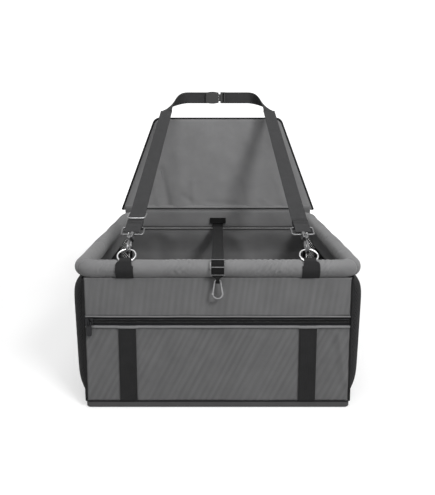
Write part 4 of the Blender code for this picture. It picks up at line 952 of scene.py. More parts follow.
SEAM = Thread()
GREY_SEAM = Thread(GREY_THREAD)
HEM_SEAM = Thread(DARK_THREAD, 2.8 * MM, 2.0 * MM, 0.22 * MM)
BAND_SEAM = Thread(DARK_THREAD, 3.0 * MM, 2.2 * MM, 0.22 * MM)
BAR_TACK = Thread(DARK_THREAD, 1.5 * MM, 1.3 * MM, 0.3 * MM)
PATCH_SEAM = Thread(DARK_THREAD, 2.4 * MM, 1.9 * MM, 0.25 * MM)


# ---------------------------------------------------------------- the seat's shared plan


@dataclass(frozen=True)
class Plan:
    """Sizes that several sub-assemblies share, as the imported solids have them."""

    rim_x: float = 197 * MM
    rim_y: float = 187 * MM
    rim_z: float = 209.7 * MM
    roll: float = 13 * MM
    corner: float = 20 * MM
    stub: float = 2 * MM
    band_height: float = 43 * MM
    band_depth: float = 24 * MM
    base_x: float = 195 * MM
    base_y: float = 195.5 * MM
    base_top: float = 11 * MM
    body_top_x: float = 194 * MM
    zip_z: float = 134.5 * MM
    zip_band: float = 14 * MM
    pocket_band_x: float = 130.5 * MM
    gap: float = 0.3 * MM
    cloth: float = 1.5 * MM
    binding: float = 1.2 * MM
    webbing: float = 1.5 * MM
    strap: float = 25 * MM
    face_y: float = -195.5 * MM

    def half_width(self, height: object) -> object:
        """Half of the body's width at a height, or at an array of heights."""
        return self.base_x + (self.body_top_x - self.base_x) * height / self.rim_z

    def corner_line(self, side: float, end: float, start: float, stop: float) -> np.ndarray:
        """The rim's centre line round one corner.

        Args:
            side: the sign of X.
            end: the sign of Y.
            start: the first angle from the X side, in degrees.
            stop: the last angle.

        Returns:
            The points.
        """
        turn = arc((self.rim_x - self.corner, self.rim_y - self.corner), self.corner, start, stop, 10)
        return xyz(turn[:, 0] * side, turn[:, 1] * end, self.rim_z)


PLAN = Plan()


# ---------------------------------------------------------------- studio


@dataclass
class Studio:
    """The camera at the photograph's angle, a pale floor and soft lamps."""

    camera_place: tuple[float, float, float] = (0.0, -0.8739, 0.4197)
    pitch: float = 8.0
    frame_width: float = 435.0
    focal: float = 494.0
    shift: tuple[float, float] = (-0.25, -57.3)
    sensor: float = 36.0
    clip: tuple[float, float] = (0.01, 50.0)
    floor_colour: tuple[float, float, float, float] = (0.42, 0.42, 0.42, 1.0)
    floor_reach: float = 6.0
    floor_bend: tuple[float, float] = (4.0, 1.2)
    floor_drop: float = 0.4 * MM
    lift: tuple[float, float] = (0.52, 1.0)
    reach: tuple[float, float] = (0.45, 1.6)
    sky: tuple[float, float] = (0.12, 0.5)
    aim: tuple[float, float, float] = (0.0, 0.0, 0.2)
    lamps: tuple = (("key", (1.05, -1.5, 1.75), 0.55, 44.0), ("fill", (-1.3, -1.8, 1.0), 1.4, 5.0),
                    ("top", (-0.1, -0.5, 2.1), 1.1, 22.0))

    def build(self) -> None:
        """Makes the camera, the floor, the sky and the lamps."""
        self.build_camera()
        self.build_floor()
        self.build_sky()
        self.build_lamps()
        bpy.context.scene.view_settings.view_transform = "Standard"

    @staticmethod
    def linked(name: str, data: bpy.types.ID, place: tuple[float, float, float]) -> bpy.types.Object:
        """Links a camera or lamp at its place.

        Args:
            name: the object's name.
            data: the camera or lamp.
            place: where it stands.

        Returns:
            The object.
        """
        obj = bpy.data.objects.new(name, data)
        obj.location = place
        bpy.context.scene.collection.objects.link(obj)
        return obj

    def build_camera(self) -> None:
        """Places the camera."""
        data = bpy.data.cameras.new("camera")
        data.sensor_fit = "HORIZONTAL"
        data.sensor_width = self.sensor
        data.lens = self.focal / self.frame_width * self.sensor
        data.shift_x, data.shift_y = (part / self.frame_width for part in self.shift)
        data.clip_start, data.clip_end = self.clip
        obj = self.linked("camera", data, self.camera_place)
        obj.rotation_euler = (math.radians(90 - self.pitch), 0, 0)
        bpy.context.scene.camera = obj

    def build_floor(self) -> None:
        """A pale floor that curves up behind the seat and fades into the white far off."""
        far, bend = self.floor_bend
        wide = self.floor_reach
        profile = np.concatenate([[(-wide, 0.0)], arc((far, bend), bend, -90, 0, 24), [(far + bend, 5.0)]])
        profile[:, 1] -= self.floor_drop
        floor = skin("floor", np.stack([xyz(x, *profile.T) for x in (-wide, wide)]))
        made_floor = bpy.data.materials.new("pale_floor")
        made_floor.use_nodes = True
        graph = Graph(made_floor.node_tree)
        place = graph.add("ShaderNodeTexCoord").outputs["Object"]
        away = graph.add("ShaderNodeVectorMath", {0: place}, operation="LENGTH").outputs["Value"]
        fade = self.ranged(graph, away, self.reach, self.lift, "SMOOTHSTEP")
        graph.feed(made_floor.node_tree.nodes["Principled BSDF"],
                   {"Base Color": self.floor_colour, "Roughness": 0.9, "Emission Color": (1, 1, 1, 1),
                    "Emission Strength": graph.times(self.seen(graph), fade)})
        floor.data.materials.append(made_floor)

    @staticmethod
    def ranged(graph: Graph, value: Socket, source: tuple[float, float], target: tuple[float, float],
               kind: str = "LINEAR") -> Socket:
        """A value moved from one range to another."""
        feeds = {"Value": value, "From Min": source[0], "From Max": source[1], "To Min": target[0],
                 "To Max": target[1]}
        return graph.add("ShaderNodeMapRange", feeds, interpolation_type=kind).outputs[0]

    @staticmethod
    def seen(graph: Graph) -> Socket:
        """1 where the camera, a reflection or a clear surface looks, otherwise 0.

        Args:
            graph: the graph to add it to.

        Returns:
            The socket with the value.
        """
        rays = graph.add("ShaderNodeLightPath").outputs
        straight = graph.plus(rays["Is Camera Ray"], rays["Is Glossy Ray"])
        return graph.plus(straight, rays["Is Transmission Ray"], clamp=True)

    def build_sky(self) -> None:
        """An even sky, a little brighter overhead, that is white where it is seen."""
        world = bpy.data.worlds.new("studio")
        bpy.context.scene.world = world
        world.use_nodes = True
        graph = Graph(world.node_tree)
        height = graph.part(graph.add("ShaderNodeTexCoord").outputs["Generated"], 2)
        glow = self.ranged(graph, height, (-0.2, 1.0), self.sky)
        graph.feed(world.node_tree.nodes["Background"],
                   {"Color": (1, 1, 1, 1), "Strength": graph.sum("MAXIMUM", glow, self.seen(graph))})

    def build_lamps(self) -> None:
        """Soft lamps above and beside the camera."""
        for name, place, size, power in self.lamps:
            data = bpy.data.lights.new(name, "AREA")
            data.size, data.energy = size, power
            aim = Vector(self.aim) - Vector(place)
            self.linked(name, data, place).rotation_euler = aim.to_track_quat("-Z", "Y").to_euler()


# ---------------------------------------------------------------- rim


@dataclass
class Rim:
    """The padded rim: pipes and elbows inside foam sleeves, covered with cloth rolls and a flat back band.

    A bunch of slanting wrinkles is given as its place from the middle, half length and height in mm.
    """

    plan: Plan = PLAN
    step: float = 1.7 * MM
    sides: int = 44
    front_bunches: tuple = ((76, 26, 1.1), (-52, 24, 0.7), (152, 14, 0.8), (-164, 14, 0.7), (20, 14, 0.5))
    side_bunches: tuple = ((-70, 24, 0.8), (60, 30, 0.6), (150, 16, 0.8))
    wrinkle_pitch: float = 8.4 * MM
    gather_pitch: float = 4.6 * MM
    slack: float = 0.25 * MM
    seam_depth: float = 1.0 * MM
    seam_length: float = 3.5 * MM
    seam_height: float = 0.9
    pipe_hole: float = 8.3 * MM

    def build(self) -> None:
        """Builds and dresses the whole rim."""
        plan = self.plan
        straight = plan.rim_x - plan.corner - plan.stub
        front = np.concatenate([plan.corner_line(-1, -1, 45, 90), plan.corner_line(1, -1, 90, 45)])
        self.build_roll("front", front, 11, self.front_bunches)
        for side in Side:
            sign = side.value
            line = np.concatenate([plan.corner_line(sign, -1, 45, 0), plan.corner_line(sign, 1, 0, 90),
                                   [(sign * straight, plan.rim_y, plan.rim_z)]])
            self.build_roll(side.word, line, 12 + sign, self.side_bunches)
        self.build_band(straight - plan.gap)
        self.build_sleeves()
        pipes = [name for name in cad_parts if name.startswith(("rim_pipe", "rim_elbow"))]
        dress_nodes(WHITE_PIPE, *pipes)

    def build_roll(self, place: str, line: np.ndarray, seed: int, bunches: Sequence[Sequence[float]]) -> None:
        """One padded roll: soft lumps, gathers inside the bends, and a drawn-in seam at each end.

        Args:
            place: front, left or right.
            line: the roll's centre line.
            seed: chooses the pattern of its lumps.
            bunches: where slanting wrinkles bunch up.
        """
        path = spaced(line, self.step)
        middle = len(path) // 2
        tangent = unit(np.gradient(path, axis=0))
        heading = np.unwrap(np.arctan2(tangent[:, 1], tangent[:, 0]))
        bend = np.abs(np.gradient(heading, along(path))) * self.plan.corner
        bend = np.clip(np.convolve(bend, np.ones(5) / 5, "same"), 0, 1)[:, None]
        outward = unit(np.cross(tangent, UP))
        outward = outward * np.sign(outward[middle] @ path[middle])
        turns = circle(self.sides)
        cos, sin = np.cos(turns), np.sin(turns)
        reach = along(path)[:, None]
        girth = turns * self.plan.roll
        lumps = soft_field(reach, sin * 12 * MM, 48 * MM, seed) * 0.4
        wander = soft_field(reach, girth, 30 * MM, seed + 5) * 1.6
        wrinkles = np.sin((reach - girth * 0.62) * TURN / self.wrinkle_pitch + wander)
        wrinkles *= sum(height * np.exp(-((reach - reach[-1] / 2 - where * MM) / (length * MM)) ** 2)
                        for where, length, height in bunches)
        wrinkles *= np.clip(np.cos(turns - math.radians(40)) + 0.2, 0, 1)
        creases = np.maximum(0, soft_field(reach + girth * 0.9, girth * 0.5, 9 * MM, seed + 7)) ** 2 * 0.6
        creases *= np.clip(soft_field(reach, girth, 60 * MM, seed + 3) + 0.35, 0, 1)
        gathers = np.sin(reach * TURN / self.gather_pitch + np.sin(girth * 400)) * bend * 0.45
        gathers *= np.maximum(0, -cos) ** 1.5
        drawn = 1 - smooth_step(np.minimum(reach, reach[-1] - reach) / self.seam_length)
        under = np.exp(-((np.abs((turns + 3 * math.pi / 2) % TURN - math.pi)) / 0.16) ** 2)
        radius = (self.plan.roll + (lumps + wrinkles - creases + gathers) * MM - drawn * self.seam_depth
                  - self.slack * (1 - under))
        rows = path[:, None] + outward[:, None] * (cos * radius)[..., None] + UP * (sin * radius)[..., None]
        caps = [path[end] + (rows[end] - path[end]) * 0.55 for end in (0, -1)]
        roll = skin(f"rim_roll_{place}", np.stack([caps[0], *rows, caps[1]]), wrap=True, capped=True)
        dress(roll, RIM_CLOTH, f"rim_cover_{place}")

    def build_band(self, reach: float) -> None:
        """The flat padded band at the back of the rim, with a sewn edge along its top and bottom.

        Args:
            reach: half of its length.
        """
        plan = self.plan
        x = np.linspace(-reach, reach, 150)
        across, upwards = squared(circle(72), 0.42).T
        half_y, half_z = plan.band_depth / 2 - 0.2 * MM, plan.band_height / 2 - 0.2 * MM
        groove = np.where(upwards > 0, 0.4 * MM, 1.1 * MM)
        groove = groove * np.exp(-((np.abs(upwards) - self.seam_height) / 0.05) ** 2)
        puff = soft_field(x[:, None], upwards * half_z, 60 * MM, 31) * 0.3 * MM
        crease = ridges(x[:, None], upwards * half_z, ((60, 8, 110, -12, 7, 0.5),))
        ends = smooth_step(np.minimum(x + reach, reach - x) / (6 * MM))[:, None]
        depth = (half_y - groove - 0.5 * MM + puff - crease) * (0.75 + 0.25 * ends)
        rows = xyz(x[:, None], plan.rim_y + across * depth,
                   plan.rim_z + upwards * half_z * (0.94 + 0.06 * ends))
        band = dress(skin("rim_band_back", rows, wrap=True, capped=True), GREY_CLOTH, "rim_cover_back")
        seams = [xyz(x, plan.rim_y - half_y + 1.5 * MM, plan.rim_z + sign * self.seam_height * half_z)
                 for sign in (1, -1)]
        GREY_SEAM.sew("rim_band_seams", seams, FRONT)
        cord = xyz(x * 0.995, plan.rim_y - 8.5 * MM, plan.rim_z + half_z + 1.2 * MM)
        dress(swept("rim_band_piping", cord, UP, round_section(1.3 * MM, 10)), BINDING_TAPE)

    def build_sleeves(self) -> None:
        """Foam sleeves on the pipes; the round ones are slit lengthwise so that they can be pushed on."""
        slit = squared(np.radians(np.linspace(-86, 266, 33)))
        whole = np.linspace(0, TURN, 49)
        for place, count in (("front", 40), ("left", 40), ("right", 40), ("back", 30)):
            low, high = node_box(f"rim_foam_{place}")
            centre, half = (low + high) / 2, (high - low) / 2
            if place == "back":
                outer, inner = squared(whole, 0.35) * (half[1:] - 1.8 * MM), squared(whole)[::-1]
                ring = np.concatenate([outer[:-1], inner[1:] * self.pipe_hole])
            else:
                ring = np.concatenate([slit * (half[2] - 0.9 * MM), slit[::-1] * self.pipe_hole])
            axis = int(np.argmax(half))
            places = np.linspace(-half[axis], half[axis], count)[:, None, None]
            rows = centre + np.eye(3)[axis] * places + np.eye(3)[1 - axis] * ring[:, :1] + UP * ring[:, 1:]
            dress(skin(f"foam_sleeve_{place}", rows, wrap=True, capped=True), SLEEVE_FOAM, f"rim_foam_{place}")


# ---------------------------------------------------------------- basket walls and floor


@dataclass(frozen=True)
class Ripples:
    """The fine ripples and the slow swell of stretched cloth; lengths and heights in mm."""

    seed: int
    bend: tuple[float, float]
    pitches: tuple[float, float]
    fine_bend: float
    heights: tuple[float, float]
    fade: tuple[float, float]
    swell: tuple[float, float, float]

    def height(self, x: np.ndarray, z: np.ndarray, slant: np.ndarray, calm: object = 0.0) -> np.ndarray:
        """The cloth's height.

        Args:
            x: the place across.
            z: the height.
            slant: the distance across the ripples.
            calm: where the cloth is held flat, from 0 to 1.

        Returns:
            The height in metres at each point.
        """
        wave, bent = self.bend
        bend = soft_field(x, z, wave * MM, self.seed) * bent
        coarse = np.sin(slant * TURN / (self.pitches[0] * MM) + bend) * self.heights[0]
        fine = np.sin(slant * TURN / (self.pitches[1] * MM) + self.fine_bend * bend) * self.heights[1]
        wave, least = self.fade
        fade = least + (1 - least) * np.clip(soft_field(x, z, wave * MM, self.seed + 2) * 0.6 + 0.6, 0, 1)
        squeeze, wave, height = self.swell
        swell = soft_field(x, z * squeeze, wave * MM, self.seed + 5) * height * (1 - calm)
        return ((coarse + fine) * fade * (1 - 0.6 * calm) + swell) * MM


@dataclass(frozen=True)
class Wall:
    """A stretched cloth wall across the basket; its face looks to -Y, or to +Y where facing is 1."""

    name: str
    node: str
    finish: Finish
    span: tuple[float, float]
    flat: tuple[float, float]
    rests_on: str
    inset: float
    plane: float
    thickness: float
    relief: Callable[[np.ndarray, np.ndarray], np.ndarray]
    step: float = 2.0 * MM
    facing: float = -1.0

    def build(self) -> None:
        """Builds the wall from its lower to its upper edge."""
        low, high = self.span
        z = np.linspace(low, high, int((high - low) / self.step) + 2)
        u = np.linspace(-1, 1, int(2 * PLAN.base_x / self.step))
        grid_z, grid_u = np.meshgrid(z, u, indexing="ij")
        grid_x = grid_u * (PLAN.half_width(grid_z) - self.inset)
        proud = self.relief(grid_x, grid_z)
        face, back = (xyz(grid_x, self.plane + self.facing * depth, grid_z)
                      for depth in (proud, proud - self.thickness))
        obj = dress(slab(self.name, face, back), self.finish, self.node)


@dataclass
class Basket:
    """The basket's cloth walls, net sides, bindings, base and floor pad. The tables of pulls, sides and folds
    are rows for ridges."""

    plan: Plan = PLAN
    upper_ripples: Ripples = Ripples(3, (70, 1.1), (10.5, 5.6), 2, (0.14, 0.03), (110, 0.45), (1.5, 120, 0.45))
    pocket_ripples: Ripples = Ripples(13, (80, 1.3), (10.8, 5.3), 1.7, (0.19, 0.03), (100, 0.35),
                                      (1.3, 130, 0.3))
    upper_pulls: tuple = tuple((low, 144, low + 13, 198, 3.4, 0.9) for low in (128, 139, 149, 158, 167, 175))
    pocket_sides: tuple = ((175, 112, 187, 40, 5, 1.5), (166, 100, 176, 40, 6, -0.5),
                           (-165, 20, -168, 90, 8, 0.4),
                           (20, 118, 60, 108, 9, 0.3))
    back_folds: tuple = ((34, 182, 76, 90, 15, 3.2), (112, 180, 120, 80, 22, -0.7),
                         (-130, 180, -126, 70, 16, -2.4),
                         (-94, 180, -92, 70, 15, 2.0), (-40, 180, -46, 70, 13, 1.2))
    panel_flat: float = 386 * MM
    lining_flat: float = 380 * MM
    lining_y: float = -185.5 * MM
    back_y: float = 188.7 * MM
    board_top: float = 5.8 * MM
    net_flat: float = 372 * MM
    net_pitch: float = 3.5 * MM
    net_yarn: float = 1.9 * MM
    net_thickness: float = 1.1 * MM
    net_share: float = 0.84
    net_margin: float = 10 * MM
    belly: float = 22 * MM
    pad_cap: float = 4 * MM
    pad_squares: int = 4
    pad_channel: float = 4.5 * MM

    def build(self) -> None:
        """Builds and dresses the walls, the base and the pad."""
        self.build_front_panels()
        self.build_inner_walls()
        for side in Side:
            self.build_net(side)
            self.build_hem(side)
            self.build_bindings(side)
        self.build_base()
        self.build_pad()

    def over_band(self, x: np.ndarray, power: int) -> np.ndarray:
        """1 over the pocket's bands and 0 away from them; the higher the power, the harder the change."""
        return np.exp(-((np.abs(x) - self.plan.pocket_band_x) / (15 * MM)) ** power)

    def welt(self, x: np.ndarray, z: np.ndarray) -> np.ndarray:
        """The welt that a front panel's sides form beside the corner tapes, sunk by the cloth's play.

        Args:
            x: the places across the panel.
            z: their heights.

        Returns:
            How far the cloth stands out.
        """
        plan = self.plan
        off = plan.half_width(z) - (plan.cloth + plan.binding + plan.gap) - 2.2 * MM - np.abs(x)
        return np.exp(-(off / (1.6 * MM)) ** 2) * 0.7 * MM - 0.4 * MM

    def upper_relief(self, x: np.ndarray, z: np.ndarray) -> np.ndarray:
        """Nearly upright ripples that lean over towards the right."""
        lean = 0.04 + 0.36 * smooth_step((x + 60 * MM) / (230 * MM))
        slant = x - lean * (z - self.plan.zip_z - self.plan.zip_band / 2)
        return self.upper_ripples.height(x, z, slant) + ridges(x, z, self.upper_pulls) + self.welt(x, z)

    def pocket_relief(self, x: np.ndarray, z: np.ndarray) -> np.ndarray:
        """Ripples that slant across the pocket, calmer under the bands."""
        ripples = self.pocket_ripples.height(x, z, x * 0.891 - z * 0.454, self.over_band(x, 4))
        return ripples + ridges(x, z, self.pocket_sides) + self.welt(x, z)

    def lining_relief(self, x: np.ndarray, z: np.ndarray) -> np.ndarray:
        """Slack upright waves."""
        return soft_field(x, z * 0.35, 75 * MM, 41) * 0.5 * MM - 0.4 * MM

    def back_relief(self, x: np.ndarray, z: np.ndarray) -> np.ndarray:
        """Slack waves and slanting folds that fade out as the cloth draws forward under the band."""
        slack = soft_field(x, z * 0.3, 90 * MM, 44) * 0.5 * MM + ridges(x, z, self.back_folds)
        forward = smooth_step((z - 128 * MM) / (58 * MM)) * 11.5 * MM
        return slack * (1 - smooth_step((z - 158 * MM) / (26 * MM))) + forward - 1.2 * MM

    def build_front_panels(self) -> None:
        """The two front panels with the fine slanting ripples of their cloth, and the hems beside the zip."""
        plan = self.plan
        inset = plan.cloth + plan.binding + plan.gap
        above, below = plan.zip_z + plan.zip_band / 2, plan.zip_z - plan.zip_band / 2
        top = plan.rim_z - math.sqrt(plan.roll ** 2 - (7.0 * MM) ** 2) - plan.gap
        Wall("front_panel_upper", "front_upper_panel", UPPER_CLOTH, (above + plan.gap, top),
             (self.panel_flat, top - above), "rim_roll_front", inset, plan.face_y, plan.cloth,
             self.upper_relief).build()
        Wall("front_pocket", "pocket_panel", POCKET_CLOTH, (plan.base_top + plan.gap, below - plan.gap),
             (self.panel_flat, below - plan.base_top), "base_tray", inset, plan.face_y, plan.cloth,
             self.pocket_relief).build()
        self.build_hems(above + plan.gap, below - plan.gap, inset)

    def build_hems(self, above: float, below: float, inset: float) -> None:
        """The folded edges of cloth on both sides of the zip; the pocket's covers the bands' ends.

        Args:
            above: the upper panel's lower edge.
            below: the pocket's upper edge.
            inset: how far the panels' ends stay from the body's outside.
        """
        plan = self.plan
        reach = plan.half_width(plan.zip_z) - inset - 0.5 * MM
        x = np.linspace(-reach, reach, 260)
        wave = soft_field(x, x * 0, 40 * MM, 23) * 0.15 * MM
        depth = 0.55 * MM
        for name, middle, half, rise in (("upper", above - 0.9 * MM, 1.3 * MM, 0.0),
                                         ("pocket", below - 1.9 * MM, 2.1 * MM, 1.45 * MM)):
            path = xyz(x, plan.face_y - depth - rise * self.over_band(x, 8), middle + wave)
            # The hems take the lighter hem cloth, a painted highlight along their folded edges.
            dress(swept(f"front_{name}_hem", path, UP, squared(circle(16)) * (half, depth)), HEM_LIT_CLOTH)
            HEM_SEAM.sew(f"front_{name}_hem_seam", [path + (0.0, -0.45 * MM, -half * 0.75)], FRONT)

    def build_inner_walls(self) -> None:
        """The front lining and the back wall, as they show inside the basket, with the back wall's welt."""
        plan = self.plan
        inset = plan.binding + 2 * (plan.gap + plan.cloth)
        low = self.board_top + plan.gap
        lining_top = plan.rim_z - plan.roll - plan.gap
        Wall("front_wall_lining", "front_lining", GREY_CLOTH, (low, lining_top),
             (self.lining_flat, lining_top - self.board_top), "rim_roll_front", inset, self.lining_y, 3 * MM,
             self.lining_relief, 3 * MM, 1.0).build()
        top = plan.rim_z - plan.band_height / 2 - plan.gap
        Wall("back_wall_cloth", "back_wall", GREY_CLOTH, (low, top), (self.lining_flat, top - self.board_top),
             "rim_band_back", inset, self.back_y, 5 * MM, self.back_relief, 2.5 * MM).build()
        path = xyz(np.linspace(-172 * MM, 172 * MM, 120), 177.4 * MM, top - 1.0 * MM)
        # The welt takes the dark base cloth: painted shade that dims the light falling on it.
        dress(swept("back_wall_welt", path, UP, round_section(1.0 * MM, 12)), BASE_CLOTH)

    def net_surface(self, side: Side, y: np.ndarray, height: np.ndarray) -> np.ndarray:
        """Points of the bellied net.

        Args:
            side: which net.
            y: the places from front to back.
            height: the heights.

        Returns:
            The points.
        """
        plan = self.plan
        low, high = plan.base_top + 1.1 * MM, plan.rim_z - plan.roll - 1.1 * MM
        u = y / (plan.base_y - self.net_margin)
        v = np.clip((height - low) / (high - low) * 2 - 1, -1, 1)
        belly = self.belly * (1 - np.abs(u) ** 14) * (1 - np.abs(v) ** 9) * (1 - 0.05 * (1 - v))
        foot = plan.base_x - plan.cloth / 2
        plane = foot + (plan.rim_x - foot) * height / plan.rim_z
        return xyz(side.value * (plane + belly), y, height)

    def build_net(self, side: Side) -> None:
        """An open net of real six-sided meshes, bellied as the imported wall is.

        Args:
            side: which net.
        """
        plan = self.plan
        low, high = plan.base_top + 1.6 * MM, plan.rim_z - plan.roll - 1.6 * MM
        half_y = plan.base_y - self.net_margin
        pitch = self.net_pitch
        rise = pitch * math.sqrt(3) / 2
        outer = squared(np.radians(np.arange(6) * 60 + 30)) * pitch / math.sqrt(3)
        inner = outer * (1 - self.net_yarn / pitch * 1.1)
        centres = np.array([(y, z) for row, z in enumerate(np.arange(low + rise / 2, high, rise))
                            for y in np.arange(-half_y + row % 2 * pitch / 2, half_y + 0.2 * pitch, pitch)])
        flat = np.concatenate([centres[:, None] + outer, centres[:, None] + inner], axis=1)
        y, z = np.clip(flat[..., 0], -half_y, half_y), np.clip(flat[..., 1], low, high)
        starts = (np.arange(len(centres)) * 12)[:, None, None]
        quads = (cells(2, 6, True)[None] + starts).reshape(-1, 4)
        obj = made(f"side_net_{side.word}", self.net_surface(side, y, z), quads.tolist(), turn_out=False)
        with reshaped(obj.data) as shape:
            bmesh.ops.remove_doubles(shape, verts=shape.verts, dist=0.02 * MM)
        with reshaped(obj.data) as shape:
            bmesh.ops.dissolve_degenerate(shape, edges=shape.edges, dist=0.01 * MM)
            bmesh.ops.recalc_face_normals(shape, faces=shape.faces)
        yarn = obj.modifiers.new("yarn", "SOLIDIFY")
        yarn.thickness, yarn.offset = self.net_thickness, 0
        dress(obj, NET_YARN, f"side_mesh_{side.word}")

    def build_hem(self, side: Side) -> None:
        """The grey cloth hem under a side rim.

        Args:
            side: which side.
        """
        low, high = node_box(f"side_hem_{side.word}")
        y = np.linspace(low[1], high[1], 120)
        grid_z, grid_y = np.meshgrid(np.linspace(low[2], high[2], 14), y, indexing="ij")
        wave = soft_field(grid_y, grid_z, 45 * MM, 50 + side.value) * 0.35 * MM
        inner = low[0] if side is Side.RIGHT else high[0]
        face = xyz(inner + side.value * (wave + self.plan.gap), grid_y, grid_z)
        obj = slab(f"side_hem_cloth_{side.word}", face, face + (side.value * (high[0] - low[0]), 0, 0))
        dress(obj, GREY_CLOTH, f"side_hem_{side.word}")
        GREY_SEAM.sew(f"side_hem_seam_{side.word}", [xyz(inner, y, low[2] + 3 * MM)], -side.value * RIGHT)

    def build_bindings(self, side: Side) -> None:
        """Dark tape folded round the body's corners and along the net's edges.

        Args:
            side: which side.
        """
        plan = self.plan
        sign = side.value
        heights = np.linspace(plan.base_top + plan.gap, plan.rim_z - plan.roll - plan.gap, 70)
        lean = plan.half_width(heights) - plan.base_x
        outside, bend = plan.base_x + 0.2 * MM, 2.2 * MM
        for end, leg, proud, name in ((-1, 3.5 * MM, 1.6 * MM, "front"), (1, 9 * MM, 0.2 * MM, "back")):
            face = plan.base_y + proud
            turn = arc((outside - bend, face - bend), bend, 0, 90, 6)
            path = spaced(np.concatenate([[(outside, face - 12 * MM)], turn, [(outside - leg, face)]]),
                          0.8 * MM)
            slope = np.gradient(path, axis=0)
            normal = unit(np.stack([slope[:, 1], -slope[:, 0]], axis=1))
            ring = np.concatenate([path, (path - normal * plan.binding)[::-1]])
            pucker = soft_field(heights, heights * 0, 26 * MM, 60 + sign + end) * 0.2 * MM
            rows = xyz(sign * (ring[:, 0] + (lean + pucker)[:, None]), end * ring[:, 1], heights[:, None])
            tape = skin(f"corner_tape_{name}_{side.word}", rows, wrap=True, capped=True)
            dress(tape, BINDING_TAPE, *([f"corner_binding_{side.word}"] if name == "front" else []))
            line = xyz(sign * (outside + lean + 0.05 * MM), end * (face - 10.5 * MM), heights)
            SEAM.sew(f"corner_seam_{name}_{side.word}", [line], sign * RIGHT)

    def build_base(self) -> None:
        """The base tray with its piped top edge, and the stiff board in it."""
        plan = self.plan
        corner = 7 * MM
        inner = np.array((plan.base_x - corner, plan.base_y - corner))
        turns = [arc(inner * signs, corner, 90 * index, 90 * index + 90, 6)
                 for index, signs in enumerate(((1, 1), (-1, 1), (-1, -1), (1, -1)))]
        loop = spaced(np.concatenate([*turns, turns[0][:1]]), 4 * MM)[:-1]
        out = unit(loop - np.clip(loop, -inner, inner))
        reach = along(loop)
        wave = np.abs(soft_field(reach, reach * 0, 70 * MM, 71))[:, None] * 0.25 * MM
        rows = []
        for inset, height in ((8.0, 0.05), (3.0, 0.0), (1.2, 0.3), (0.3, 1.4), (0.0, 3.0), (0.0, 6.0),
                              (0.1, 8.6),
                              (0.5, 9.6), (0.4, 10.2), (0.0, 11.0), (0.5, 11.0), (1.4, 10.8), (1.5, 8.0),
                              (1.5, 2.4),
                              (8.0, 1.55)):
            waved = 3.0 <= height <= 8.6 and inset < 1
            rows.append(xyz(*(loop - out * (inset * MM + wave * waved)).T, height * MM))
        dress(skin("base_tray", np.array(rows), wrap=True, capped=True), BASE_CLOTH, "base_cover")
        dress_nodes(BOARD_SHEET, "base_board")
        cord = xyz(*(loop - out * 0.15 * MM).T, 10.2 * MM)
        dress(swept("base_piping", cord, UP, round_section(0.95 * MM, 10), closed=True), BINDING_TAPE)

    def build_pad(self) -> None:
        """The quilted floor pad: a form swollen by simulation, then drawn down along its sewn channels."""
        low, high = node_box("floor_pad")
        centre, half = (low + high) / 2, (high - low) / 2 - self.pad_cap
        u = np.linspace(-1, 1, 60)
        grid_v, grid_u = np.meshgrid(u, u, indexing="ij")
        plump = (1 - np.abs(grid_u) ** 6) * (1 - np.abs(grid_v) ** 6)
        x, y = centre[0] + grid_u * half[0], centre[1] + grid_v * half[1]
        top = low[2] + 7 * MM + (high[2] - low[2] - self.pad_cap - 7.5 * MM) * plump
        pad = slab("floor_cushion", xyz(x, y, top), xyz(x, y, low[2] + 0.5 * MM))
        swollen(pad, 5 * MM, 4.0, self.pad_cap)
        points = read_points(pad.data)
        across = (points[:, :2] - centre[:2]) / half[:2]
        pinch = np.abs(np.sin(math.pi * self.pad_squares * (across + 1) / 2)) ** 0.5
        inside = np.prod(1 - np.clip(np.abs(across), 0, 1) ** 8, axis=1)
        rise = np.clip((points[:, 2] - low[2]) / (high[2] - low[2]), 0, 1)
        puckers = soft_field(points[:, 0], points[:, 1], 24 * MM, 81) * 0.35 * MM * inside
        drawn = (1 - pinch[:, 0] * pinch[:, 1]) * inside * self.pad_channel
        points[:, 2] += (puckers - drawn) * smooth_step(rise * 1.6)
        points = np.clip(points, low + 0.05 * MM, high - 0.05 * MM)
        pad.data.vertices.foreach_set("co", points.astype(np.float32).ravel())
        corners = np.empty(len(pad.data.loops), dtype=np.int32)
        pad.data.loops.foreach_get("vertex_index", corners)
        write_uv(pad.data, read_points(pad.data)[corners][:, :2])
        dress(pad, GREY_CLOTH, "floor_pad")


# ---------------------------------------------------------------- front zip and bands


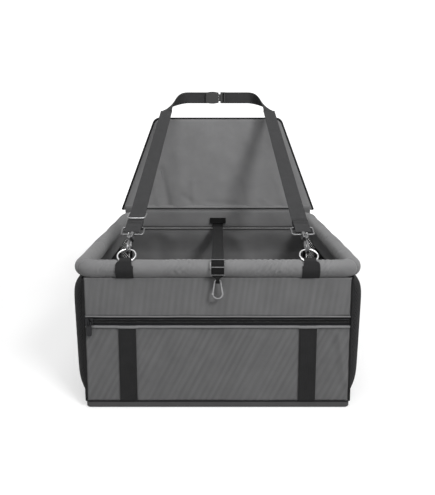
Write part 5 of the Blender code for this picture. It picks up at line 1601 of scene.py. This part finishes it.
@dataclass
class FrontZip:
    """The pocket's zip, its slider and pull, and the two webbing bands below it."""

    plan: Plan = PLAN
    tape: float = 1.0 * MM
    tape_split: float = 0.6 * MM
    end_gap: float = 3.5 * MM
    coil_pitch: float = 1.5 * MM
    coil_height: float = 1.15 * MM
    coil_reach: tuple[float, float] = (0.65 * MM, 2.7 * MM)
    wire: float = 0.34 * MM

    def build(self) -> None:
        """Builds and dresses the zip and the bands."""
        for name, sign in (("upper", 1), ("lower", -1)):
            self.build_half(name, sign)
        for side in Side:
            self.build_band(side)
        dress_nodes(GUNMETAL, "zipper_slider", "zipper_pull")

    def build_half(self, name: str, sign: int) -> None:
        """One woven tape of the zip, with the nylon coil sewn along its inner edge as one wound wire.

        Args:
            name: upper or lower.
            sign: 1 for the upper one.
        """
        plan = self.plan
        reach = plan.half_width(plan.zip_z) - self.end_gap - plan.gap
        back = plan.face_y + plan.cloth - plan.gap
        middle = plan.zip_z + sign * (plan.zip_band / 2 + self.tape_split) / 2
        path = xyz(np.linspace(-reach, reach, 190), back - self.tape / 2, middle)
        section = flat_section(plan.zip_band / 2 - self.tape_split, self.tape)
        dress(swept(f"zip_tape_{name}", path, UP, section), ZIP_TAPE, f"zipper_tape_{name}")
        turns = int(2 * reach / self.coil_pitch)
        angle = np.linspace(0, TURN * turns, turns * 10 + 1)
        inner, outer = self.coil_reach[0] + self.wire, self.coil_reach[1]
        coil = xyz(np.linspace(-reach + 1 * MM, reach - 1 * MM, len(angle)),
                   back - self.tape - self.wire - self.coil_height / 2 * (1 + np.sin(angle)),
                   plan.zip_z + sign * ((inner + outer) / 2 + (outer - inner) / 2 * np.cos(angle)))
        dress(swept(f"zip_coil_{name}", coil, RIGHT, round_section(self.wire, 6)), ZIP_COIL)

    def build_band(self, side: Side) -> None:
        """One webbing band down the pocket, with a seam along each edge.

        Args:
            side: which band.
        """
        plan = self.plan
        low, high = node_box(f"front_band_{side.word}")
        z = np.linspace(low[2], high[2], 60)
        wave = soft_field(z, z * 0, 60 * MM, 90 + side.value) * 0.12 * MM
        path = xyz(side.value * plan.pocket_band_x, high[1] - 0.95 * MM - wave, z)
        band = swept(f"pocket_band_{side.word}", path, RIGHT, flat_section(plan.strap, plan.webbing))
        dress(band, BAND_WEBBING, f"front_band_{side.word}")
        seams = [path + (edge * (plan.strap / 2 - 2.2 * MM), -0.8 * MM, 0) for edge in (-1, 1)]
        BAND_SEAM.sew(f"pocket_band_seams_{side.word}", seams, FRONT)


# ---------------------------------------------------------------- hanging straps


@dataclass
class StrapChain:
    """One hanging chain: the rim's webbing loop, ring, swivel hook and strap, up to the buckle."""

    side: Side
    plan: Plan = PLAN
    ring_radius: float = 13 * MM
    ring_wire: float = 2.4 * MM
    ring_x: float = 131 * MM
    ring_low: float = -2 * MM
    ring_play: float = 0.5 * MM
    loop_x: float = 132 * MM
    loop_narrow: float = 18 / 25
    toe_in: float = math.radians(2.6)
    eye_place: float = 33 * MM
    eye_length: float = 16 * MM
    eye_wire: float = 3 * MM
    fold_length: float = 16 * MM
    tack_places: tuple[float, ...] = (4.5 * MM, 8.5 * MM, 12.5 * MM)
    strap_start: float = 55.5 * MM
    top_run: tuple[float, float] = (287.766 * MM, 472.275 * MM)
    top_run_x: float = 68 * MM
    top_end_x: float = 8 * MM
    turn_span: float = 60 * MM
    turn_drop: float = 31.67 * MM
    turn_pulls: tuple[float, float] = (15 * MM, 90 * MM)
    rise: float = field(init=False)
    place: np.ndarray = field(init=False)

    def __post_init__(self) -> None:
        """Works out the strap's slope and its own frame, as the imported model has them."""
        plan = self.plan
        reach = (self.top_run[0] - self.turn_span + plan.rim_y, self.top_run[1] - self.turn_drop - plan.rim_z)
        self.rise = math.atan2(reach[1], reach[0]) - math.asin(self.lift / math.hypot(*reach))
        y, z = self.ring_line(self.ring_low + 2 * self.ring_radius)
        turn = Matrix.Rotation(self.side.value * self.toe_in, 4, "Z") @ Matrix.Rotation(self.rise, 4, "X")
        self.place = np.array(Matrix.Translation((self.side.value * self.ring_x, y, z)) @ turn)

    @property
    def lift(self) -> float:
        """How far the ring's plane passes over the middle of the rim."""
        return self.plan.roll + self.plan.gap + self.ring_wire / 2 + self.ring_play

    def ring_line(self, place: float) -> tuple[float, float]:
        """A point of the ring's plane, as y and z, at a place along the strap's direction."""
        cos, sin = math.cos(self.rise), math.sin(self.rise)
        return (-self.plan.rim_y - sin * self.lift + cos * place,
                self.plan.rim_z + cos * self.lift + sin * place)

    def in_frame(self, points: np.ndarray) -> np.ndarray:
        """Points of the strap's own frame, in the seat's frame."""
        return points @ self.place[:3, :3].T + self.place[:3, 3]

    def build(self) -> None:
        """Builds and dresses the whole chain."""
        word = self.side.word
        self.build_rim_loop()
        self.build_end_loop()
        section = flat_section(self.plan.strap, self.plan.webbing)
        strap = swept(f"hanging_strap_{word}", *self.route(), section)
        dress(strap, STRAP_WEBBING, f"shoulder_strap_{word}")
        dress_nodes(BRIGHT_PLATE, f"o_ring_{word}")
        dress_nodes(DARK_PLATE, f"hook_body_{word}", f"hook_gate_{word}", f"hook_eye_{word}")
        if self.side is Side.LEFT:
            dress_nodes(NICKEL_PLATE, "strap_slide_loop")
        dress_nodes(BLACK_PLASTIC, "buckle_socket" if self.side is Side.LEFT else "buckle_plug")

    def build_rim_loop(self) -> None:
        """The webbing loop round the rim that holds the ring, gathered where it passes through."""
        plan = self.plan
        centre = np.array((-plan.rim_y, plan.rim_z))
        way = np.array((math.cos(self.rise), math.sin(self.rise)))
        normal = np.array((-way[1], way[0]))
        reach = plan.roll + plan.gap + plan.webbing / 2
        over = self.ring_wire / 2 + plan.gap + plan.webbing / 2
        low = np.array(self.ring_line(self.ring_low))
        outward = low - centre
        meet = math.degrees(math.atan2(outward[1], outward[0]) + math.acos((reach - over) / np.hypot(*outward)))
        top = math.degrees(math.atan2(normal[1], normal[0]))
        crest = np.array(self.ring_line(4.2 * MM)) + normal * over
        dive = way * 6.2 * MM + normal * math.sqrt(reach ** 2 - (6.2 * MM) ** 2)
        flat = np.concatenate([arc(centre, reach, 230, meet, 24), arc(low, over, meet, top, 8), crest[None],
                               arc(centre, reach, math.degrees(math.atan2(dive[1], dive[0])), -60, 24)])
        flat = rounded(spaced(flat, 1.0 * MM), 2)
        pinch = low[1] + over - plan.webbing
        shoulder = plan.rim_z + plan.roll * 0.6
        share = smooth_step((flat[:, 1] - shoulder) / (pinch - shoulder))
        path = xyz(self.side.value * (self.loop_x + (self.ring_x - self.loop_x) * share), *flat.T)
        section = flat_section(plan.strap, plan.webbing)
        sections = np.repeat(section[None], len(path), axis=0)
        sections[..., 1] -= (section[:, 0] / (plan.strap / 2)) ** 2 * 0.6 * MM * share[:, None]
        widths = 1 + (self.loop_narrow - 1) * share
        loop = swept(f"rim_loop_{self.side.word}", path, RIGHT, sections, widths)
        dress(loop, LOOP_WEBBING, f"ring_loop_{self.side.word}")

    def build_end_loop(self) -> None:
        """The sewn fold of webbing that holds the hook's eye, its tab and its bar tacks."""
        plan = self.plan
        side, up = self.place[:3, 0], self.place[:3, 2]
        bar = self.eye_place + self.eye_length
        layer = plan.webbing + plan.gap
        radius = self.eye_wire / 2 + plan.gap + plan.webbing / 2
        close, end = bar + 5.5 * MM, bar + self.fold_length
        fold = np.concatenate([[(end, -layer), (close, -layer)], arc((bar, 0), radius, -75, -285, 16),
                               [(close, layer), (end, layer)]])
        tab = np.array([(end - 1 * MM, 2 * layer), (bar + 5 * MM, 2 * layer), (bar, radius + layer),
                        (bar - 5 * MM, radius + 1.2 * MM), (self.eye_place + 2.6 * MM, radius + 0.1 * MM)])
        for name, line, times, trim, nodes in (
                ("fold", fold, 2, 0.0, [f"strap_end_loop_{self.side.word}"]), ("tab", tab, 3, 1 * MM, [])):
            points = self.in_frame(xyz(0, *rounded(spaced(line, 0.8 * MM), times).T))
            section = flat_section(plan.strap - trim, plan.webbing)
            dress(swept(f"strap_{name}_{self.side.word}", points, side, section), STRAP_WEBBING, *nodes)
        x = np.linspace(-plan.strap / 2 + 1.5 * MM, plan.strap / 2 - 1.5 * MM, 20)
        rows = [(bar + place, 2 * layer + plan.webbing / 2) for place in self.tack_places]
        if self.side is Side.RIGHT:
            rows.append((bar + 20.5 * MM, plan.webbing / 2))
        tacks = [self.in_frame(xyz(x, place, height)) for place, height in rows]
        BAR_TACK.sew(f"strap_fold_tacks_{self.side.word}", tacks, up)

    def route(self) -> tuple[np.ndarray, np.ndarray]:
        """The strap's centre line and its sideways direction, with the turn onto its edge.

        Returns:
            The points and the sideways directions.
        """
        sign = self.side.value
        way = self.place[:3, 1]
        start = self.place[:3, 3] + way * self.strap_start
        turn_start = start + way * ((self.top_run[0] - self.turn_span - start[1]) / way[1])
        turn_end = np.array((sign * self.top_run_x, *self.top_run))
        t = np.linspace(0, 1, 48)[:, None]
        leave, arrive = way * self.turn_pulls[0], -sign * RIGHT * self.turn_pulls[1]
        turn = (turn_start * (2 * t ** 3 - 3 * t ** 2 + 1) + leave * (t ** 3 - 2 * t ** 2 + t)
                + turn_end * (3 * t ** 2 - 2 * t ** 3) + arrive * (t ** 3 - t ** 2))
        run = np.linspace(turn_end, (sign * self.top_end_x, *self.top_run), 22)
        points = np.concatenate([np.linspace(start, turn_start, 90), turn[1:], run[1:]])
        twist = sign * math.pi / 2 * np.concatenate([np.zeros((90, 1)), t[1:], np.ones((21, 1))])
        tangent = unit(np.gradient(points, axis=0))
        level = unit(np.cross(tangent, UP))
        return points, level * np.cos(twist) - np.cross(level, tangent) * np.sin(twist)


# ---------------------------------------------------------------- tether


@dataclass
class Tether:
    """The safety tether: sewn to the back band, slack across the basket and over the front rim."""

    plan: Plan = PLAN
    width: float = 18 * MM
    back_width: float = 22 * MM
    pinched: float = 5 * MM
    sag: float = 12 * MM
    top: float = 2.5 * MM
    join_z: float = -5.3 * MM
    tunnel: float = 2.9 * MM
    carabiner_top: float = -11 * MM
    carabiner_sag: float = 1.45 * MM
    patch_margin: float = 2 * MM

    def build(self) -> None:
        """Builds and dresses the tether, its anchor and its fittings."""
        self.build_strap()
        self.build_anchor()
        dress_nodes(DARK_PLATE, "tether_slider")
        dress_nodes(NICKEL_PLATE, "carabiner_body", "carabiner_gate")

    def build_strap(self) -> None:
        """The tether's webbing, folded back on itself at the carabiner."""
        plan = self.plan
        centre = (-plan.rim_y, plan.rim_z)
        layer = plan.gap + plan.webbing / 2
        reach = plan.roll + layer
        contact = arc(centre, reach, 79, 180, 30)
        start_y = plan.rim_y - plan.band_depth / 2 - layer
        top = plan.rim_z + self.top
        leave = np.array((start_y - 4 * MM, top - 19 * MM))
        t = np.linspace(0, 1, 90)[:, None]
        hang = leave + (contact[0] - leave) * t - (0, 1) * (self.sag * 4 * t * (1 - t))
        front_y = -plan.rim_y - reach
        radius = self.tunnel + plan.webbing / 2
        fold_y, fold_z = front_y - radius, plan.rim_z + self.carabiner_top
        fold = arc((fold_y, fold_z - self.carabiner_sag), radius, 0, -180, 16)
        tail = arc(centre, reach + plan.webbing + plan.gap, 180, 128, 14)
        rise = np.array([(fold_y - radius, fold_z + 1.2 * MM),
                         (front_y - plan.webbing - plan.gap, plan.rim_z + self.join_z)])
        flat = np.concatenate([[(start_y, top), (start_y, top - 13 * MM)], hang, contact[1:], fold, rise, tail])
        flat = rounded(spaced(flat, 1.0 * MM), 3)
        y, z = flat.T
        behind = np.clip((y - contact[0][0]) / (start_y - contact[0][0]), 0, 1)
        widen = (self.back_width / self.width - 1) * behind
        pinch = smooth_step((plan.rim_z - 5 * MM - z) / (4 * MM)) * (y < front_y + plan.webbing)
        widths = (1 + widen) * (1 + (self.pinched / self.width - 1) * pinch)
        section = flat_section(self.width, plan.webbing)
        dress(swept("tether_webbing", xyz(0, y, z), RIGHT, section, widths), TETHER_WEBBING, "tether_strap")

    def build_anchor(self) -> None:
        """The patch that the tether is sewn down with, and its box of stitches."""
        low, high = node_box("tether_anchor")
        _, y, z = (low + high) / 2
        section = flat_section(high[2] - low[2], high[1] - low[1])
        patch = swept("tether_patch", xyz(np.linspace(low[0], high[0], 40), y, z), UP, section)
        dress(patch, TETHER_WEBBING, "tether_anchor")
        face = low[1] - 0.05 * MM
        (left, _, foot), (right, _, head) = low + self.patch_margin, high - self.patch_margin
        box = xyz([left, right, right, left, left], face, [foot, foot, head, head, foot])
        lines = [spaced(box[index:index + 2], 2 * MM) for index in range(4)]
        PATCH_SEAM.sew("tether_patch_seams", lines, FRONT)


# ---------------------------------------------------------------- back panel


@dataclass
class BackRest:
    """The reclined back panel: padded cloth over a stiff board, bound round its edge.

    The folds are rows for ridges. The hinge cloth's two lines are y and z in mm, over the band and behind
    the rim's corners.
    """

    body: str = "back_rest"
    hinge: tuple[float, float, float] = (0.0, 202.3 * MM, 224.0 * MM)
    recline: float = math.radians(20)
    bottom_x: float = 208.5 * MM
    top_x: float = 142 * MM
    length: float = 211 * MM
    foot: float = 1 * MM
    corner: float = 12 * MM
    thickness: float = 12 * MM
    edge: float = 2.4 * MM
    rounding: float = 9 * MM
    proud: float = 2.2 * MM
    tape: tuple[float, float] = (3.0 * MM, 2.5 * MM)
    folds: tuple = ((108, 205, 88, 160, 26, 3.6), (80, 140, 82, 8, 26, 4.4), (-88, 122, -86, 6, 16, 3.6),
                    (-4, 160, -8, 12, 22, 2.6), (-76, 205, -82, 160, 22, 2.6), (-127, 88, -109, 8, 8, -4.2),
                    (-142, 60, -128, 8, 8, 2.4), (30, 205, 26, 170, 20, -1.4), (-75, 30, -52, 12, 7, -1.8),
                    (-20, 16, 36, 14, 6, -0.9), (134, 60, 148, 6, 9, 1.8), (48, 60, 58, 6, 9, -2.0),
                    (-56, 60, -52, 8, 7, 2.2), (96, 22, 116, 10, 6, 1.0))
    over: tuple = ((177.2, 230.2), (179, 231.9), (185, 232.3), (192, 232.4), (196.4, 232.9), (198.2, 233.9),
                   (199.6, 235.9))
    behind: tuple = ((201.2, 203), (201.2, 212), (201.0, 219), (198.9, 226), (198.2, 230.4), (198.6, 233.4),
                     (199.6, 235.9))

    def in_frame(self, points: np.ndarray) -> np.ndarray:
        """Points of the panel's own frame, in the seat's frame."""
        place = np.array(Matrix.Translation(self.hinge) @ Matrix.Rotation(-self.recline, 4, "X"))
        return points @ place[:3, :3].T + place[:3, 3]

    def half_width(self, z: np.ndarray) -> np.ndarray:
        """Half of the panel's width, with its round top corners.

        Args:
            z: the heights in the panel's own frame.

        Returns:
            The half widths.
        """
        edge = self.bottom_x - (self.bottom_x - self.top_x) / self.length * z
        from_top = np.clip(z - (self.length - self.corner), 0, self.corner)
        return edge - (self.corner - np.sqrt(np.maximum(self.corner ** 2 - from_top ** 2, 0))) * 0.98

    def build(self) -> None:
        """Builds and dresses the panel, its board and its binding."""
        self.build_cover()
        self.build_binding()
        self.build_hinge()
        dress_nodes(BOARD_SHEET, "panel_board")

    def build_cover(self) -> None:
        """The padded cover, plump in the middle and drawn in at its binding."""
        z = np.linspace(self.foot, self.length, 100)
        z[-1] = self.length - 0.05 * MM
        grid_z, grid_u = np.meshgrid(z, np.linspace(-1, 1, 170), indexing="ij")
        wide = self.half_width(grid_z)
        grid_x = grid_u * wide
        span = (grid_z - self.foot) / (self.length - self.foot)
        edge_x = np.clip((1 - np.abs(grid_u)) * wide / self.rounding, 0, 1)
        edge_z = np.clip(np.minimum(span * 1.8, 1 - span) * self.length / self.rounding, 0, 1)
        plump = np.sqrt((1 - (1 - edge_x) ** 2) * (1 - (1 - edge_z) ** 2))
        base = self.edge + (self.thickness / 2 - self.edge) * plump
        relief = ridges(grid_x, grid_z, self.folds) + soft_field(grid_x, grid_z, 70 * MM, 120) * 0.25 * MM
        waves = soft_field(grid_x, grid_z, 90 * MM, 121) * 0.5 * MM
        face, back = (self.in_frame(xyz(grid_x, y, grid_z))
                      for y in (-base - relief * plump, base + waves * plump))
        cover = dress(slab("back_rest_cover", face, back), GREY_CLOTH, "back_panel", body=self.body)

    def build_binding(self) -> None:
        """Dark tape folded over the panel's two sides and top."""
        slope = (self.bottom_x - self.top_x) / self.length
        lean = math.atan(slope)
        radius = self.corner + self.proud
        centre_z = self.length + self.proud - radius
        outside = self.bottom_x + self.proud / math.cos(lean)
        centre_x = outside - slope * centre_z - radius / math.cos(lean)
        half = np.concatenate([[(outside - slope * self.foot, self.foot)],
                               arc((centre_x, centre_z), radius, math.degrees(lean), 90, 12)])
        line = spaced(np.concatenate([half, half[::-1] * (-1, 1)]), 3 * MM)
        path = self.in_frame(xyz(line[:, 0], 0, line[:, 1]))
        out = np.array(Matrix.Rotation(-self.recline, 3, "X") @ Vector((0, 1, 0)))
        binding = swept("back_rest_binding", path, out, squared(circle(20), 0.7) * self.tape)
        dress(binding, BINDING_TAPE, "panel_binding", body=self.body)

    def build_hinge(self) -> None:
        """The cloth that the panel turns on, sewn to the back band and, past its ends, behind the corners."""
        over, behind = spaced(np.array(self.over) * MM, 1.6 * MM), np.array(self.behind) * MM
        reach = along(behind)
        behind = sampled(np.linspace(0, reach[-1], len(over)), reach, behind)
        x = np.linspace(-204 * MM, 204 * MM, 150)
        share = smooth_step((np.abs(x) - 173.5 * MM) / (6 * MM))[None, :, None]
        profile = over[:, None] * (1 - share) + behind[:, None] * share
        slack = soft_field(x[None, :], profile[..., 1], 34 * MM, 131)
        slack = slack * np.sin(np.linspace(0, math.pi, len(over)))[:, None] * 0.5 * MM
        rows = xyz(x, profile[..., 0] - slack, profile[..., 1] + slack)
        hinge = slab("back_rest_hinge_cloth", rows, rows + (0, 0.5 * MM, -0.5 * MM))
        hinge.data.materials.append(GREY_CLOTH.material())
        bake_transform(hinge)
        LOG.info("piece %s: %s, %d faces", hinge.name, GREY_CLOTH.name, len(hinge.data.polygons))


def main() -> None:
    """Builds the studio and every sub-assembly, in order."""
    logging.basicConfig(level=logging.INFO, format="%(message)s")
    for part in (Studio(), Rim(), Basket(), FrontZip(), *map(StrapChain, Side), Tether(), BackRest()):
        part.build()


if __name__ == "__main__":
    main()
